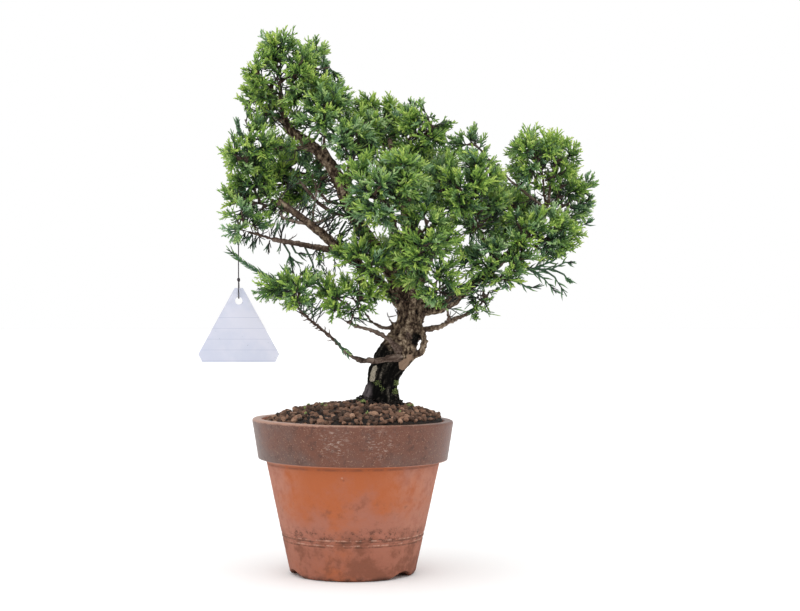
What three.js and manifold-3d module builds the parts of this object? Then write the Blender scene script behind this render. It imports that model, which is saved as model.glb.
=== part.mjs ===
// Juniper bonsai in a round terracotta training pot, with a plain tag on a thread.
// Millimetres, +Z up, +X to the right and +Y to the back, seen from the front.
// The origin is the middle of the pot's underside.

import * as THREE from 'three';
import { mergeVertices } from 'three/addons/utils/BufferGeometryUtils.js';
import Module from 'manifold-3d';

const wasm = await Module();
wasm.setup();

// Clearance between neighbouring pieces
const GAP = 0.3;

// Pot
const POT_HEIGHT = 115.5;
const RIM_RADIUS = 75.5;
const RIM_WIDTH = 7;
const RIM_ROUNDING = 1.2;
const BAND_HEIGHT = 30;
const BAND_FOOT_RADIUS = 71.4;
const SHOULDER_RADIUS = 66;
const FOOT_RADIUS = 47;
const WALL = 6.5;
const FLOOR = 9;
const POT_SEGMENTS = 32;
const NOTCH_HEIGHT = 5.2;
const NOTCH_ARC_RADIUS = 18;
const NOTCH_START = 18;
const FOOT_CHAMFER = 2;
const DRAIN_ANGLES = [83, 203, 323];
const DRAIN_RADIUS = 5;
const DRAIN_CIRCLE = 29;

// Drain mesh
const MESH_SIDE = 15;
const MESH_THICKNESS = 1.2;
const MESH_CELLS = 2;
const MESH_HOLE = 4.6;

// Soil
const SOIL_EDGE = 113.5;
const SOIL_MOUND = 16;
const SOIL_FULLNESS = 0.6;
const GRANULE_PITCH = 6.4;
const GRANULE_CROWN = 1.9;
const GRANULE_VALLEY = -1.7;
const GRANULE_SHIFT = 0.7;
const GRANULE_LIFT = 0.8;
const TRUNK_SEAT_GAP = 0.7;
const TRUNK_SEAT_DEPTH = 0.8;

// Hang tag and thread
const TAG_WIDTH = 60;
const TAG_HEIGHT = 55;
const TAG_THICKNESS = 0.8;
const TAG_CLIP = 6;
const TAG_HOLE_RADIUS = 2.8;
const TAG_HOLE_BELOW_TOP = 9.5;
const TAG_HOLE_AT = [-84, -22, 204.4];
const THREAD_RADIUS = 0.4;
const THREAD_SIDES = 8;
const THREAD_STEP = 2.7;
const THREAD_ROUTE = [
  [-84, -22.8, 250.5], [-84, -20.6, 253.5], [-84, -19.9, 257], [-84, -20.52, 259.1],
  [-84, -22, 259.7], [-84, -23.48, 259.1], [-84, -24.1, 257.2], [-84, -24.1, 250],
  [-84, -24, 236], [-84, -23.9, 222], [-84, -23.8, 214], [-84, -23.8, 208.5],
  [-84, -23.27, 206.73], [-84, -22, 206.2], [-84, -20.73, 206.73], [-84, -20.2, 208.5],
  [-84, -20.2, 213.5], [-84, -20.9, 216.5], [-84, -22.6, 219.5],
];

// Branches that carry the clumps
const BRANCH_BACK = 0.12;
const BRANCH_REACH = 0.55;
const BRANCH_STEP = 14;
const BRANCH_RADII = [1.4, 2.6];
const BRANCH_END_RADIUS = 1.2;
const BRANCH_SIDES = 5;
const NEAREST_STEPS = 60;

// Leafy stems
const STEM_RADIUS = 0.9;
const STEM_THINNING = 0.3;
const STEM_TILTS = [0, 10, 38, 52];
const STEM_REACH = 0.95;
const STEM_SPACING = 0.16;
const STEM_RISE = 2.5;
const STEM_SAG = 2;
const STEM_STEP = 4.6;
const SIDE_STEM_RADIUS = 0.75;
const SIDE_STEM_STEP = 4.5;
const SIDE_STEM_THINNING = 0.08;
const SIDE_STEM_LEAN = [46, 58];
const SHOOT_LENGTH = 11;
const SHOOT_LEAN = [34, 54];
const SHOOT_FOOT_SHARE = 0.4;
const SHOOT_SWING = 16;
const SHOOT_SHARE = 0.8;
const SHOOT_CLEARANCE = 1.2;
const STEM_CLEARANCE = 1.6;
const ROUTE_TRIES = 16;
const ROUTE_TURN = 0.9;

// Colours
const TERRACOTTA = 0xb4694a;
const SOIL_BROWN = 0x6b4d3c;
const BARK = 0x4a3a2c;
const LEAF_GREEN = 0x5c8a3c;
const LEAF_DEEP = 0x3f6e44;
const TAG_WHITE = 0xdfe0ec;
const THREAD_BLACK = 0x2c2a2c;
const MESH_BLACK = 0x26282a;

const object = new THREE.Group();

// A repeatable stream of numbers from 0 to 1.
function seededRandom(seed) {
  let state = seed >>> 0;
  return () => {
    state = (state + 0x6d2b79f5) >>> 0;
    let mixed = Math.imul(state ^ (state >>> 15), 1 | state);
    mixed = (mixed + Math.imul(mixed ^ (mixed >>> 7), 61 | mixed)) ^ mixed;
    return ((mixed ^ (mixed >>> 14)) >>> 0) / 4294967296;
  };
}

function between(random, low, high) {
  return low + (high - low) * random();
}

function vector(point) {
  return new THREE.Vector3(point[0], point[1], point[2]);
}

function finish(color, roughness) {
  return new THREE.MeshStandardMaterial({ color, roughness, metalness: 0 });
}

function addPiece(name, geometry, material) {
  const mesh = new THREE.Mesh(geometry, material);
  mesh.name = name;
  object.add(mesh);
  return mesh;
}

// A closed geometry as a solid that can be cut and joined.
function solidOf(geometry) {
  const bare = geometry.clone();
  bare.deleteAttribute('normal');
  bare.deleteAttribute('uv');
  const merged = mergeVertices(bare, 1e-4);
  return new wasm.Manifold(new wasm.Mesh({
    numProp: 3,
    vertProperties: Float32Array.from(merged.attributes.position.array),
    triVerts: Uint32Array.from(merged.index.array),
  }));
}

function geometryOf(solid) {
  const mesh = solid.getMesh();
  const geometry = new THREE.BufferGeometry();
  geometry.setAttribute('position', new THREE.BufferAttribute(mesh.vertProperties, 3));
  geometry.setIndex(new THREE.BufferAttribute(mesh.triVerts, 1));
  return geometry;
}

// A lathe turned about the Z axis.
function turned(profile, segments) {
  const points = profile.map(([radius, height]) => new THREE.Vector2(radius, height));
  return new THREE.LatheGeometry(points, segments).rotateX(Math.PI / 2);
}

// Pot: foot, tapering body, a rim band that stands proud, and a hollow for the soil
function wallRadius(height) {
  const rise = height / (POT_HEIGHT - BAND_HEIGHT);
  return FOOT_RADIUS + (SHOULDER_RADIUS - FOOT_RADIUS) * rise;
}

function innerRadius(height) {
  const top = RIM_RADIUS - RIM_WIDTH;
  const low = FOOT_RADIUS - WALL;
  return low + (top - low) * ((height - FLOOR) / (POT_HEIGHT - FLOOR));
}

function makePot() {
  const bandFoot = POT_HEIGHT - BAND_HEIGHT;
  const inner = innerRadius(POT_HEIGHT);
  const profile = [
    [0, 0],
    [FOOT_RADIUS - FOOT_CHAMFER, 0],
    [wallRadius(FOOT_CHAMFER), FOOT_CHAMFER],
    [wallRadius(bandFoot), bandFoot],
    [BAND_FOOT_RADIUS - RIM_ROUNDING, bandFoot],
    [BAND_FOOT_RADIUS, bandFoot + RIM_ROUNDING],
    [RIM_RADIUS, POT_HEIGHT - RIM_ROUNDING],
    [RIM_RADIUS - RIM_ROUNDING, POT_HEIGHT],
    [inner, POT_HEIGHT],
    [innerRadius(FLOOR), FLOOR],
    [0, FLOOR],
  ];
  let pot = solidOf(turned(profile, POT_SEGMENTS));
  for (const angle of DRAIN_ANGLES) {
    const turn = THREE.MathUtils.degToRad(angle);
    const arch = new THREE.CylinderGeometry(NOTCH_ARC_RADIUS, NOTCH_ARC_RADIUS, FOOT_RADIUS, 28);
    arch.rotateZ(-Math.PI / 2);
    arch.translate(NOTCH_START + FOOT_RADIUS / 2, 0, NOTCH_HEIGHT - NOTCH_ARC_RADIUS);
    arch.rotateZ(turn);
    const drain = new THREE.CylinderGeometry(DRAIN_RADIUS, DRAIN_RADIUS, 3 * FLOOR, 16);
    drain.rotateX(Math.PI / 2);
    drain.translate(DRAIN_CIRCLE * Math.cos(turn), DRAIN_CIRCLE * Math.sin(turn), 0);
    pot = pot.subtract(solidOf(arch)).subtract(solidOf(drain));
  }
  addPiece('pot', geometryOf(pot), finish(TERRACOTTA, 0.75));
}

// Drain mesh: a small square of plastic mesh over each drain hole
function meshPlace(angle) {
  const turn = THREE.MathUtils.degToRad(angle);
  return { turn, x: DRAIN_CIRCLE * Math.cos(turn), y: DRAIN_CIRCLE * Math.sin(turn) };
}

function meshPlate() {
  const pitch = MESH_SIDE / MESH_CELLS;
  let plate = solidOf(new THREE.BoxGeometry(MESH_SIDE, MESH_SIDE, MESH_THICKNESS));
  for (let cell = 0; cell < MESH_CELLS * MESH_CELLS; cell += 1) {
    const hole = new THREE.BoxGeometry(MESH_HOLE, MESH_HOLE, 2 * MESH_THICKNESS);
    const column = (cell % MESH_CELLS) - (MESH_CELLS - 1) / 2;
    const row = Math.floor(cell / MESH_CELLS) - (MESH_CELLS - 1) / 2;
    hole.translate(column * pitch, row * pitch, 0);
    plate = plate.subtract(solidOf(hole));
  }
  return geometryOf(plate);
}

function makeDrainMeshes() {
  DRAIN_ANGLES.forEach((angle, index) => {
    const { turn, x, y } = meshPlace(angle);
    const mesh = addPiece(`drain_mesh_${index + 1}`, meshPlate(), finish(MESH_BLACK, 0.6));
    mesh.rotation.z = turn;
    mesh.position.set(x, y, FLOOR + GAP + MESH_THICKNESS / 2);
  });
}

// Limbs: round, tapering, closed at both ends, and bent along a smooth curve
function limbCurve(route) {
  return new THREE.CatmullRomCurve3(route.map(vector), false, 'centripetal');
}

function radiusAt(curve, radii, along) {
  const place = curve.getUtoTmapping(along) * (radii.length - 1);
  const before = Math.min(Math.floor(place), radii.length - 2);
  return THREE.MathUtils.lerp(radii[before], radii[before + 1], place - before);
}

function limbGeometry(limb, grown = 0) {
  const { curve, radii, sides, steps } = limb;
  const lobes = limb.lobes ?? 0;
  const geometry = new THREE.CylinderGeometry(1, 1, 1, sides, steps);
  const frames = curve.computeFrenetFrames(steps, false);
  const position = geometry.attributes.position;
  const local = new THREE.Vector3();
  for (let i = 0; i < position.count; i += 1) {
    local.fromBufferAttribute(position, i);
    const along = local.y + 0.5;
    const ring = Math.round(along * steps);
    const angle = Math.atan2(local.z, local.x);
    const flutes = Math.sin(3 * angle + 7 * along) + 0.6 * Math.sin(5 * angle - 11 * along);
    const radius = radiusAt(curve, radii, along) * (1 + lobes * flutes) + grown;
    const place = curve.getPointAt(along);
    place.addScaledVector(frames.normals[ring], local.x * radius);
    place.addScaledVector(frames.binormals[ring], -local.z * radius);
    position.setXYZ(i, place.x, place.y, place.z);
  }
  return geometry;
}

// The wood: trunk, looped knob, limbs, and the snags of limbs that broke off
const TRUNK = {
  route: [
    [19, 4, 100], [19.4, 4, 112], [20.6, 4, 130], [22, 4, 141], [25, 4, 151], [31, 4, 162],
    [37.6, 5, 175], [41.4, 6, 185], [43.6, 7, 197], [44.6, 8, 210],
  ],
  radii: [7, 9.5, 14.2, 11.2, 11.8, 13.2, 11.6, 9.9, 10, 8.5],
  sides: 10,
  steps: 14,
  lobes: 0.07,
};

const KNOB = {
  route: [
    [41, 2, 161], [46.5, 0, 163.5], [51.5, -2, 166.5], [53.8, -2, 172.5], [53, -2, 178.5],
    [48.5, 0, 184], [42, 3, 186],
  ],
  radii: [4, 3.2, 2.5, 2.3, 2.7, 3.6, 4.6],
  sides: 6,
  steps: 10,
};

const KNOB_HEART = {
  route: [[42, 3, 185], [46.5, 1, 180], [48.6, 0, 174.5]],
  radii: [5, 4.6, 2.6],
  sides: 6,
  steps: 3,
};

const LIMBS = {
  crown_left: {
    route: [
      [43, 6, 200], [35, 4, 214], [24, -2, 234], [9.8, -6, 254], [-2.3, -9, 273], [-13.6, -10, 302],
      [-31.7, -6, 322], [-48, -1, 334], [-54, 4, 352], [-56, 6, 372],
    ],
    radii: [6.5, 6, 5.5, 5.2, 5, 4.5, 3.8, 3, 2.3, 1.5],
    sides: 6,
    steps: 15,
  },
  leader: {
    route: [[44.6, 8, 206], [46.5, 11, 235], [42, 13, 265], [36, 10, 295], [30, 6, 318], [27, 5, 328]],
    radii: [8, 6.6, 5.4, 4.2, 3, 1.8],
    sides: 6,
    steps: 9,
  },
  right: {
    route: [
      [43.5, 7, 194], [55, 5, 199.5], [66, 3, 199], [75, 2, 204], [88, 1, 216], [110, 0, 233],
      [130, 0, 253], [146, 2, 274], [149, 3, 292],
    ],
    radii: [6.5, 5.6, 4.8, 4.4, 3.8, 3.2, 2.6, 2, 1.4],
    sides: 6,
    steps: 13,
  },
  left: {
    route: [
      [40, 6, 196], [27, -4, 212], [10, -12, 228], [-6.8, -17, 240], [-24, -19, 255.6],
      [-41.5, -18, 269], [-56, -12, 280],
    ],
    radii: [5, 4.2, 3.6, 3.1, 2.6, 2.1, 1.5],
    sides: 5,
    steps: 9,
  },
  left_fork: {
    route: [
      [-8, -17, 241], [-20, -20, 243], [-36, -22, 246], [-55.8, -22.5, 249.5], [-72, -22, 254],
      [-82, -22, 257], [-92, -22, 258],
    ],
    radii: [2.4, 2.1, 1.8, 1.6, 1.4, 1.2, 1.1],
    sides: 5,
    steps: 8,
  },
  low_left: {
    route: [
      [38, -3, 163], [33.5, -10.5, 162], [26, -13, 160.8], [13.6, -16, 159.8], [-0.8, -19, 162.9],
      [-12, -21, 174], [-24, -22, 184.7], [-36, -22, 194], [-44, -22, 205],
    ],
    radii: [3.4, 2.9, 2.5, 2.2, 2, 1.8, 1.6, 1.4, 1.2],
    sides: 5,
    steps: 12,
  },
  second_left: {
    route: [
      [37.5, -2, 165], [34, -9.5, 168.5], [26.4, -11.5, 176], [12, -14, 183], [0, -18, 187], [-8, -20, 191],
    ],
    radii: [2.8, 2.4, 2.1, 1.8, 1.5, 1.1],
    sides: 5,
    steps: 7,
  },
  inner_left: {
    route: [[40, 6, 184], [27, 0, 184], [17, -5, 186], [8, -10, 197], [0, -16, 215]],
    radii: [2, 1.7, 1.5, 1.3, 1.1],
    sides: 5,
    steps: 6,
  },
  low_right: {
    route: [
      [42, 4, 184], [54, -3, 183], [66, -8, 185.5], [78, -11, 191.5], [92, -13, 198], [102, -15, 211],
    ],
    radii: [3, 2.5, 2.2, 1.9, 1.6, 1.2],
    sides: 5,
    steps: 8,
  },
  front: {
    route: [[44, 2, 198], [45, -12, 212], [42, -26, 228], [36, -38, 246], [30, -46, 264]],
    radii: [4, 3.2, 2.6, 2, 1.4],
    sides: 5,
    steps: 7,
  },
  back: {
    route: [[43, 8, 196], [48, 24, 208], [54, 40, 224], [62, 52, 242], [76, 58, 258]],
    radii: [4.6, 3.6, 2.9, 2.2, 1.5],
    sides: 5,
    steps: 7,
  },
  back_left: {
    route: [[8, -4, 258], [2, 14, 270], [-10, 32, 286], [-20, 44, 304]],
    radii: [3, 2.4, 1.9, 1.3],
    sides: 5,
    steps: 5,
  },
  snag_left: {
    route: [[36, 2, 184], [29, 0, 187.5], [26.4, -0.5, 192]],
    radii: [2.4, 1.7, 0.8],
    sides: 5,
    steps: 2,
  },
  snag_front: {
    route: [[44, 2, 176], [42, -9, 178], [40, -13, 183]],
    radii: [2.8, 1.9, 0.8],
    sides: 5,
    steps: 2,
  },
};

// Clumps of foliage, each on its limb: middle, half sizes and how many leafy stems
const CLUMPS = [
  { limb: 'crown_left', middle: [-54, -12, 377], half: [29, 30, 32], stems: 3 },
  { limb: 'crown_left', middle: [-29, 16, 376], half: [21, 28, 29], stems: 2 },
  { limb: 'crown_left', middle: [-24, -22, 345], half: [29, 28, 28], stems: 2 },
  { limb: 'crown_left', middle: [-70, 14, 353], half: [20, 28, 24], stems: 1 },
  { limb: 'crown_left', middle: [-76, -26, 318], half: [26, 30, 24], stems: 2 },
  { limb: 'left', middle: [-74, -12, 287], half: [25, 28, 26], stems: 2 },
  { limb: 'back_left', middle: [-48, 38, 302], half: [32, 30, 32], stems: 2 },
  { limb: 'left_fork', middle: [-76, -27, 266], half: [21, 18, 14], stems: 1 },
  { limb: 'crown_left', middle: [-2, -26, 323], half: [28, 30, 28], stems: 2 },
  { limb: 'leader', middle: [16, 26, 338], half: [28, 30, 26], stems: 2 },
  { limb: 'leader', middle: [51, -8, 331], half: [27, 32, 25], stems: 2 },
  { limb: 'front', middle: [24, -58, 286], half: [36, 30, 32], stems: 3 },
  { limb: 'leader', middle: [50, 54, 300], half: [36, 30, 32], stems: 2 },
  { limb: 'right', middle: [92, 2, 322], half: [15, 15, 16], stems: 1 },
  { limb: 'right', middle: [82, -30, 288], half: [33, 32, 31], stems: 3 },
  { limb: 'right', middle: [141, -6, 312], half: [29, 30, 25], stems: 3 },
  { limb: 'right', middle: [162, 16, 284], half: [25, 28, 26], stems: 2 },
  { limb: 'right', middle: [139, -20, 252], half: [34, 30, 23], stems: 3 },
  { limb: 'low_right', middle: [104, -20, 233], half: [31, 28, 21], stems: 2 },
  { limb: 'front', middle: [52, -50, 246], half: [33, 28, 29], stems: 2 },
  { limb: 'low_right', middle: [64, -38, 216], half: [28, 22, 16], stems: 1 },
  { limb: 'inner_left', middle: [9, -32, 234], half: [23, 25, 21], stems: 2 },
  { limb: 'low_left', middle: [-43, -27, 214], half: [36, 27, 17], stems: 2 },
  { limb: 'second_left', middle: [0, -28, 206], half: [29, 24, 16], stems: 2 },
  { limb: 'back', middle: [114, 50, 274], half: [36, 30, 31], stems: 2 },
  { limb: 'back', middle: [40, 74, 240], half: [32, 26, 26], stems: 1 },
];

// What stands in the way of a new stem or shoot: short straight stretches with a radius
const taken = [];

function take(from, to, radius, owner) {
  taken.push({ from: from.clone(), to: to.clone(), radius, owner });
}

// The smallest distance between two straight stretches
function stretchDistance(a, b) {
  const along = new THREE.Vector3().subVectors(a.to, a.from);
  const across = new THREE.Vector3().subVectors(b.to, b.from);
  const offset = new THREE.Vector3().subVectors(a.from, b.from);
  const aa = along.dot(along);
  const bb = across.dot(across);
  const ab = along.dot(across);
  const ao = along.dot(offset);
  const bo = across.dot(offset);
  const spread = aa * bb - ab * ab;
  let s = spread > 1e-9 ? THREE.MathUtils.clamp((ab * bo - ao * bb) / spread, 0, 1) : 0;
  const t = THREE.MathUtils.clamp((ab * s + bo) / bb, 0, 1);
  s = THREE.MathUtils.clamp((ab * t - ao) / aa, 0, 1);
  const nearA = a.from.clone().addScaledVector(along, s);
  const nearB = b.from.clone().addScaledVector(across, t);
  return nearA.distanceTo(nearB);
}

function isClear(from, to, clearance, ignored) {
  const stretch = { from, to };
  return taken.every((other) => {
    if (ignored.includes(other.owner)) return true;
    return stretchDistance(stretch, other) > clearance + other.radius;
  });
}

function takeLimb(limb, owner) {
  const { curve, radii, steps } = limb;
  const parts = 3;
  for (let i = 0; i < steps; i += 1) {
    const chord = new THREE.Line3(curve.getPointAt(i / steps), curve.getPointAt((i + 1) / steps));
    for (let part = 0; part < parts; part += 1) {
      const from = chord.at(part / parts, new THREE.Vector3());
      const to = chord.at((part + 1) / parts, new THREE.Vector3());
      take(from, to, radiusAt(curve, radii, (i + part / parts) / steps), owner);
    }
  }
}

function nearestAlong(curve, point) {
  let best = 0;
  for (let i = 0; i <= NEAREST_STEPS; i += 1) {
    const here = curve.getPointAt(i / NEAREST_STEPS).distanceTo(point);
    if (here < curve.getPointAt(best).distanceTo(point)) best = i / NEAREST_STEPS;
  }
  return best;
}

// The branch that carries a clump: it leaves the limb and ends a little short of the clump's middle
function clumpBranch(clump, random) {
  const carrier = LIMBS[clump.limb];
  const middle = vector(clump.middle);
  const leave = Math.max(0.1, nearestAlong(carrier.curve, middle) - BRANCH_BACK);
  const start = carrier.curve.getPointAt(leave);
  const outward = middle.clone().sub(start).normalize();
  const end = middle.clone().addScaledVector(outward, -BRANCH_REACH * Math.min(...clump.half));
  const bend = start.clone().lerp(end, 0.5);
  bend.add(new THREE.Vector3(between(random, -3, 3), between(random, -3, 3), between(random, -4, 1)));
  const [thin, thick] = BRANCH_RADII;
  const width = THREE.MathUtils.clamp(radiusAt(carrier.curve, carrier.radii, leave) * 0.75, thin, thick);
  const curve = new THREE.CatmullRomCurve3([start, bend, end]);
  return {
    curve,
    radii: [width, Math.max(width * 0.8, BRANCH_END_RADIUS + 0.1), BRANCH_END_RADIUS],
    sides: BRANCH_SIDES,
    steps: Math.max(2, Math.round(curve.getLength() / BRANCH_STEP)),
  };
}

// The way that one of a clump's stems goes: the stems fan out around the way of the branch
function fanDirection(outward, stem, stems, start) {
  const side = new THREE.Vector3(0, 0, 1).cross(outward).normalize();
  const tilt = THREE.MathUtils.degToRad(STEM_TILTS[stems]);
  const axis = side.applyAxisAngle(outward, start + (stem * Math.PI * 2) / stems);
  return outward.clone().applyAxisAngle(axis, tilt);
}

// Where a stem stands on the wood: the first face met from a place inside it, and the way that face looks
function seatOnSkin(skin, inside, way) {
  const ray = new THREE.Ray(inside, way);
  const point = new THREE.Vector3();
  const seat = { root: null, out: null, reach: Infinity };
  for (const face of skin) {
    if (ray.intersectTriangle(face.a, face.b, face.c, false, point) === null) continue;
    const reach = point.distanceTo(inside);
    if (reach > seat.reach) continue;
    seat.reach = reach;
    seat.out = face.getNormal(new THREE.Vector3());
    seat.root = point.clone().addScaledVector(seat.out, GAP);
  }
  return seat;
}

// The route of a leafy stem: it starts at the skin of the branch and runs to the rim of the clump
function stemRoute(clump, branch, skin, stem, roll) {
  const middle = vector(clump.middle);
  const outward = branch.curve.getTangentAt(1);
  const way = fanDirection(outward, stem, clump.stems, roll);
  const tip = middle.clone().add(way.clone().multiply(vector(clump.half)).multiplyScalar(STEM_REACH));
  const leave = 1 - STEM_SPACING * stem;
  const seat = branch.curve.getPointAt(leave);
  let out = outward.clone();
  let root = seat.clone().addScaledVector(out, GAP);
  if (stem > 0) {
    const tangent = branch.curve.getTangentAt(leave);
    out = tip.clone().sub(seat);
    out.addScaledVector(tangent, -out.dot(tangent)).normalize();
    ({ root, out } = seatOnSkin(skin, seat, out));
  }
  const first = root.clone().addScaledVector(out, STEM_RISE);
  const turn = first.clone().lerp(tip, 0.5);
  turn.z -= STEM_SAG;
  return { curve: new THREE.CatmullRomCurve3([root, first, turn, tip], false, 'centripetal'), out, first };
}

function routeIsClear(route) {
  const places = route.curve.getSpacedPoints(8);
  places[0] = route.first;
  return places.slice(1).every((place, index) => {
    const clearance = index < 3 ? STEM_RADIUS + 0.1 : STEM_CLEARANCE;
    return isClear(places[index], place, clearance, []);
  });
}

// A green body that grows from triangle to triangle
class Growth {
  constructor(centre, direction, radius) {
    this.points = [];
    this.faces = [];
    this.root = this.ring(centre, direction, radius, new THREE.Vector3(0.1, 0.2, 1));
    this.faces.push([this.root[2], this.root[1], this.root[0]]);
  }

  ring(centre, direction, radius, guide) {
    const first = guide.clone().addScaledVector(direction, -guide.dot(direction)).normalize();
    const second = new THREE.Vector3().crossVectors(direction, first);
    return [0, 1, 2].map((corner) => {
      const turn = (corner * Math.PI * 2) / 3;
      const point = centre.clone();
      point.addScaledVector(first, radius * Math.cos(turn));
      point.addScaledVector(second, radius * Math.sin(turn));
      this.points.push(point);
      return this.points.length - 1;
    });
  }

  // The way to the first corner of a next ring, so that its three corners follow those before them
  guide(corners, direction) {
    const middle = this.middle(corners);
    const level = Math.abs(direction.z) < 0.9 ? new THREE.Vector3(0, 0, 1) : new THREE.Vector3(1, 0, 0);
    const first = level.addScaledVector(direction, -level.dot(direction)).normalize();
    const second = new THREE.Vector3().crossVectors(direction, first);
    let across = 0;
    let up = 0;
    corners.forEach((corner, index) => {
      const arm = this.points[corner].clone().sub(middle);
      const turn = Math.atan2(arm.dot(second), arm.dot(first)) - (index * Math.PI * 2) / 3;
      across += Math.cos(turn);
      up += Math.sin(turn);
    });
    return first.multiplyScalar(across).addScaledVector(second, up);
  }

  middle(corners) {
    const sum = new THREE.Vector3();
    corners.forEach((corner) => sum.add(this.points[corner]));
    return sum.divideScalar(corners.length);
  }

  normal(corners) {
    const [a, b, c] = corners.map((corner) => this.points[corner]);
    const one = new THREE.Vector3().subVectors(b, a);
    const two = new THREE.Vector3().subVectors(c, a);
    return one.cross(two).normalize();
  }

  // Three sides around a ring that goes on to the next one; the new faces are given back
  wall(ring, next) {
    const sides = [];
    for (let k = 0; k < 3; k += 1) {
      const m = (k + 1) % 3;
      sides.push([ring[k], ring[m], next[m]], [ring[k], next[m], next[k]]);
    }
    this.faces.push(...sides);
    return sides;
  }

  // A face is taken out and a sharp shoot stands in its place
  spike(face, tip) {
    this.faces = this.faces.filter((other) => other !== face);
    this.close(face, tip);
    return true;
  }

  // A ring closes in a sharp tip
  close(ring, tip) {
    this.points.push(tip);
    const top = this.points.length - 1;
    for (let k = 0; k < 3; k += 1) {
      this.faces.push([ring[k], ring[(k + 1) % 3], top]);
    }
  }

  // A stem grows out of a ring of corners, along the points given
  stem(ring, route, radii) {
    const joints = [];
    let here = ring;
    route.forEach((centre, index) => {
      const last = this.middle(here);
      const direction = centre.clone().sub(last).normalize();
      const next = this.ring(centre, direction, radii[index], this.guide(here, direction));
      joints.push({ sides: this.wall(here, next), direction, from: last, to: centre });
      here = next;
    });
    return { joints, end: here };
  }

  // Whether an edge of one face, away from the corners they share, goes through the other face
  facesCut(face, other) {
    const edgeCuts = (edge, target) => {
      if (edge.some((corner) => target.includes(corner))) return false;
      const [from, to] = edge.map((corner) => this.points[corner]);
      const ray = new THREE.Ray(from, to.clone().sub(from).normalize());
      const [a, b, c] = target.map((corner) => this.points[corner]);
      const hit = ray.intersectTriangle(a, b, c, false, new THREE.Vector3());
      return hit !== null && hit.distanceTo(from) < from.distanceTo(to);
    };
    return [0, 1, 2].some((k) => {
      const m = (k + 1) % 3;
      return edgeCuts([face[k], face[m]], other) || edgeCuts([other[k], other[m]], face);
    });
  }

  // A step of growth, which is taken back where its new faces cut others of this body
  attempt(step) {
    const pointCount = this.points.length;
    const before = this.faces;
    this.faces = [...before];
    const result = step();
    const fresh = this.faces.filter((face) => !before.includes(face));
    const isCut = (face) => this.faces.some((other) => other !== face && this.facesCut(face, other));
    if (!fresh.some(isCut)) return result;
    this.points.length = pointCount;
    this.faces = before;
    return null;
  }

  geometry() {
    const geometry = new THREE.BufferGeometry();
    const flat = this.points.flatMap((point) => [point.x, point.y, point.z]);
    geometry.setAttribute('position', new THREE.Float32BufferAttribute(flat, 3));
    geometry.setIndex(this.faces.flat());
    return geometry;
  }
}

// A shoot on one side of a joint, where nothing stands in its way
function growShoot(growth, joint, side, lean, length, owner) {
  const face = joint.sides[side];
  if (!growth.faces.includes(face)) return;
  const foot = growth.middle(face);
  const swing = THREE.MathUtils.degToRad(side % 2 === 0 ? SHOOT_SWING : -SHOOT_SWING);
  const out = growth.normal(face).applyAxisAngle(joint.direction, swing);
  const way = joint.direction.clone().multiplyScalar(Math.cos(lean)).addScaledVector(out, Math.sin(lean));
  const tip = foot.clone().addScaledVector(way.normalize(), length);
  const free = foot.clone().lerp(tip, SHOOT_FOOT_SHARE);
  if (!isClear(free, tip, SHOOT_CLEARANCE, [])) return;
  if (!isClear(foot, free, SHOOT_CLEARANCE, [owner])) return;
  if (growth.attempt(() => growth.spike(face, tip))) take(free, tip, STEM_RADIUS / 2, `${owner} shoot`);
}

// One leafy stem: a slim green core, side stems in turn around it, and shoots on all of them
function growLeafyStem(route, owner, random) {
  const { curve, out } = route;
  const total = curve.getLength();
  const core = total - SHOOT_LENGTH;
  const count = Math.max(3, Math.round(core / STEM_STEP));
  const places = [];
  for (let i = 1; i <= count; i += 1) places.push(curve.getPointAt((i / count) * (core / total)));
  const growth = new Growth(curve.getPointAt(0), out, STEM_RADIUS);
  const radii = places.map((place, index) => STEM_RADIUS - (STEM_THINNING * index) / count);
  const stem = growth.stem(growth.root, places, radii);
  const tip = lastTip(stem, random);
  growth.close(stem.end, tip);
  takeStem(stem, tip, STEM_RADIUS, owner);
  let side = Math.floor(random() * 3);
  stem.joints.forEach((joint, index) => {
    if (index === 0) return;
    side += random() < 0.7 ? 1 : 2;
    const steps = index < stem.joints.length * 0.6 ? 3 : 2;
    [0, 1, 2].some((turn) => growSideStem(growth, joint, (side + turn) % 3, steps, owner, random));
  });
  stem.joints.slice(1).forEach((joint) => dressJoint(growth, joint, owner, random));
  return growth;
}

// The tip of the shoot that goes straight on from a stem's last ring
function lastTip(stem, random) {
  const last = stem.joints[stem.joints.length - 1];
  return last.to.clone().addScaledVector(last.direction, SHOOT_LENGTH * between(random, 0.75, 1));
}

function takeStem(stem, tip, radius, owner) {
  stem.joints.forEach((joint) => take(joint.from, joint.to, radius, owner));
  take(stem.joints[stem.joints.length - 1].to, tip, radius / 2, owner);
}

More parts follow.
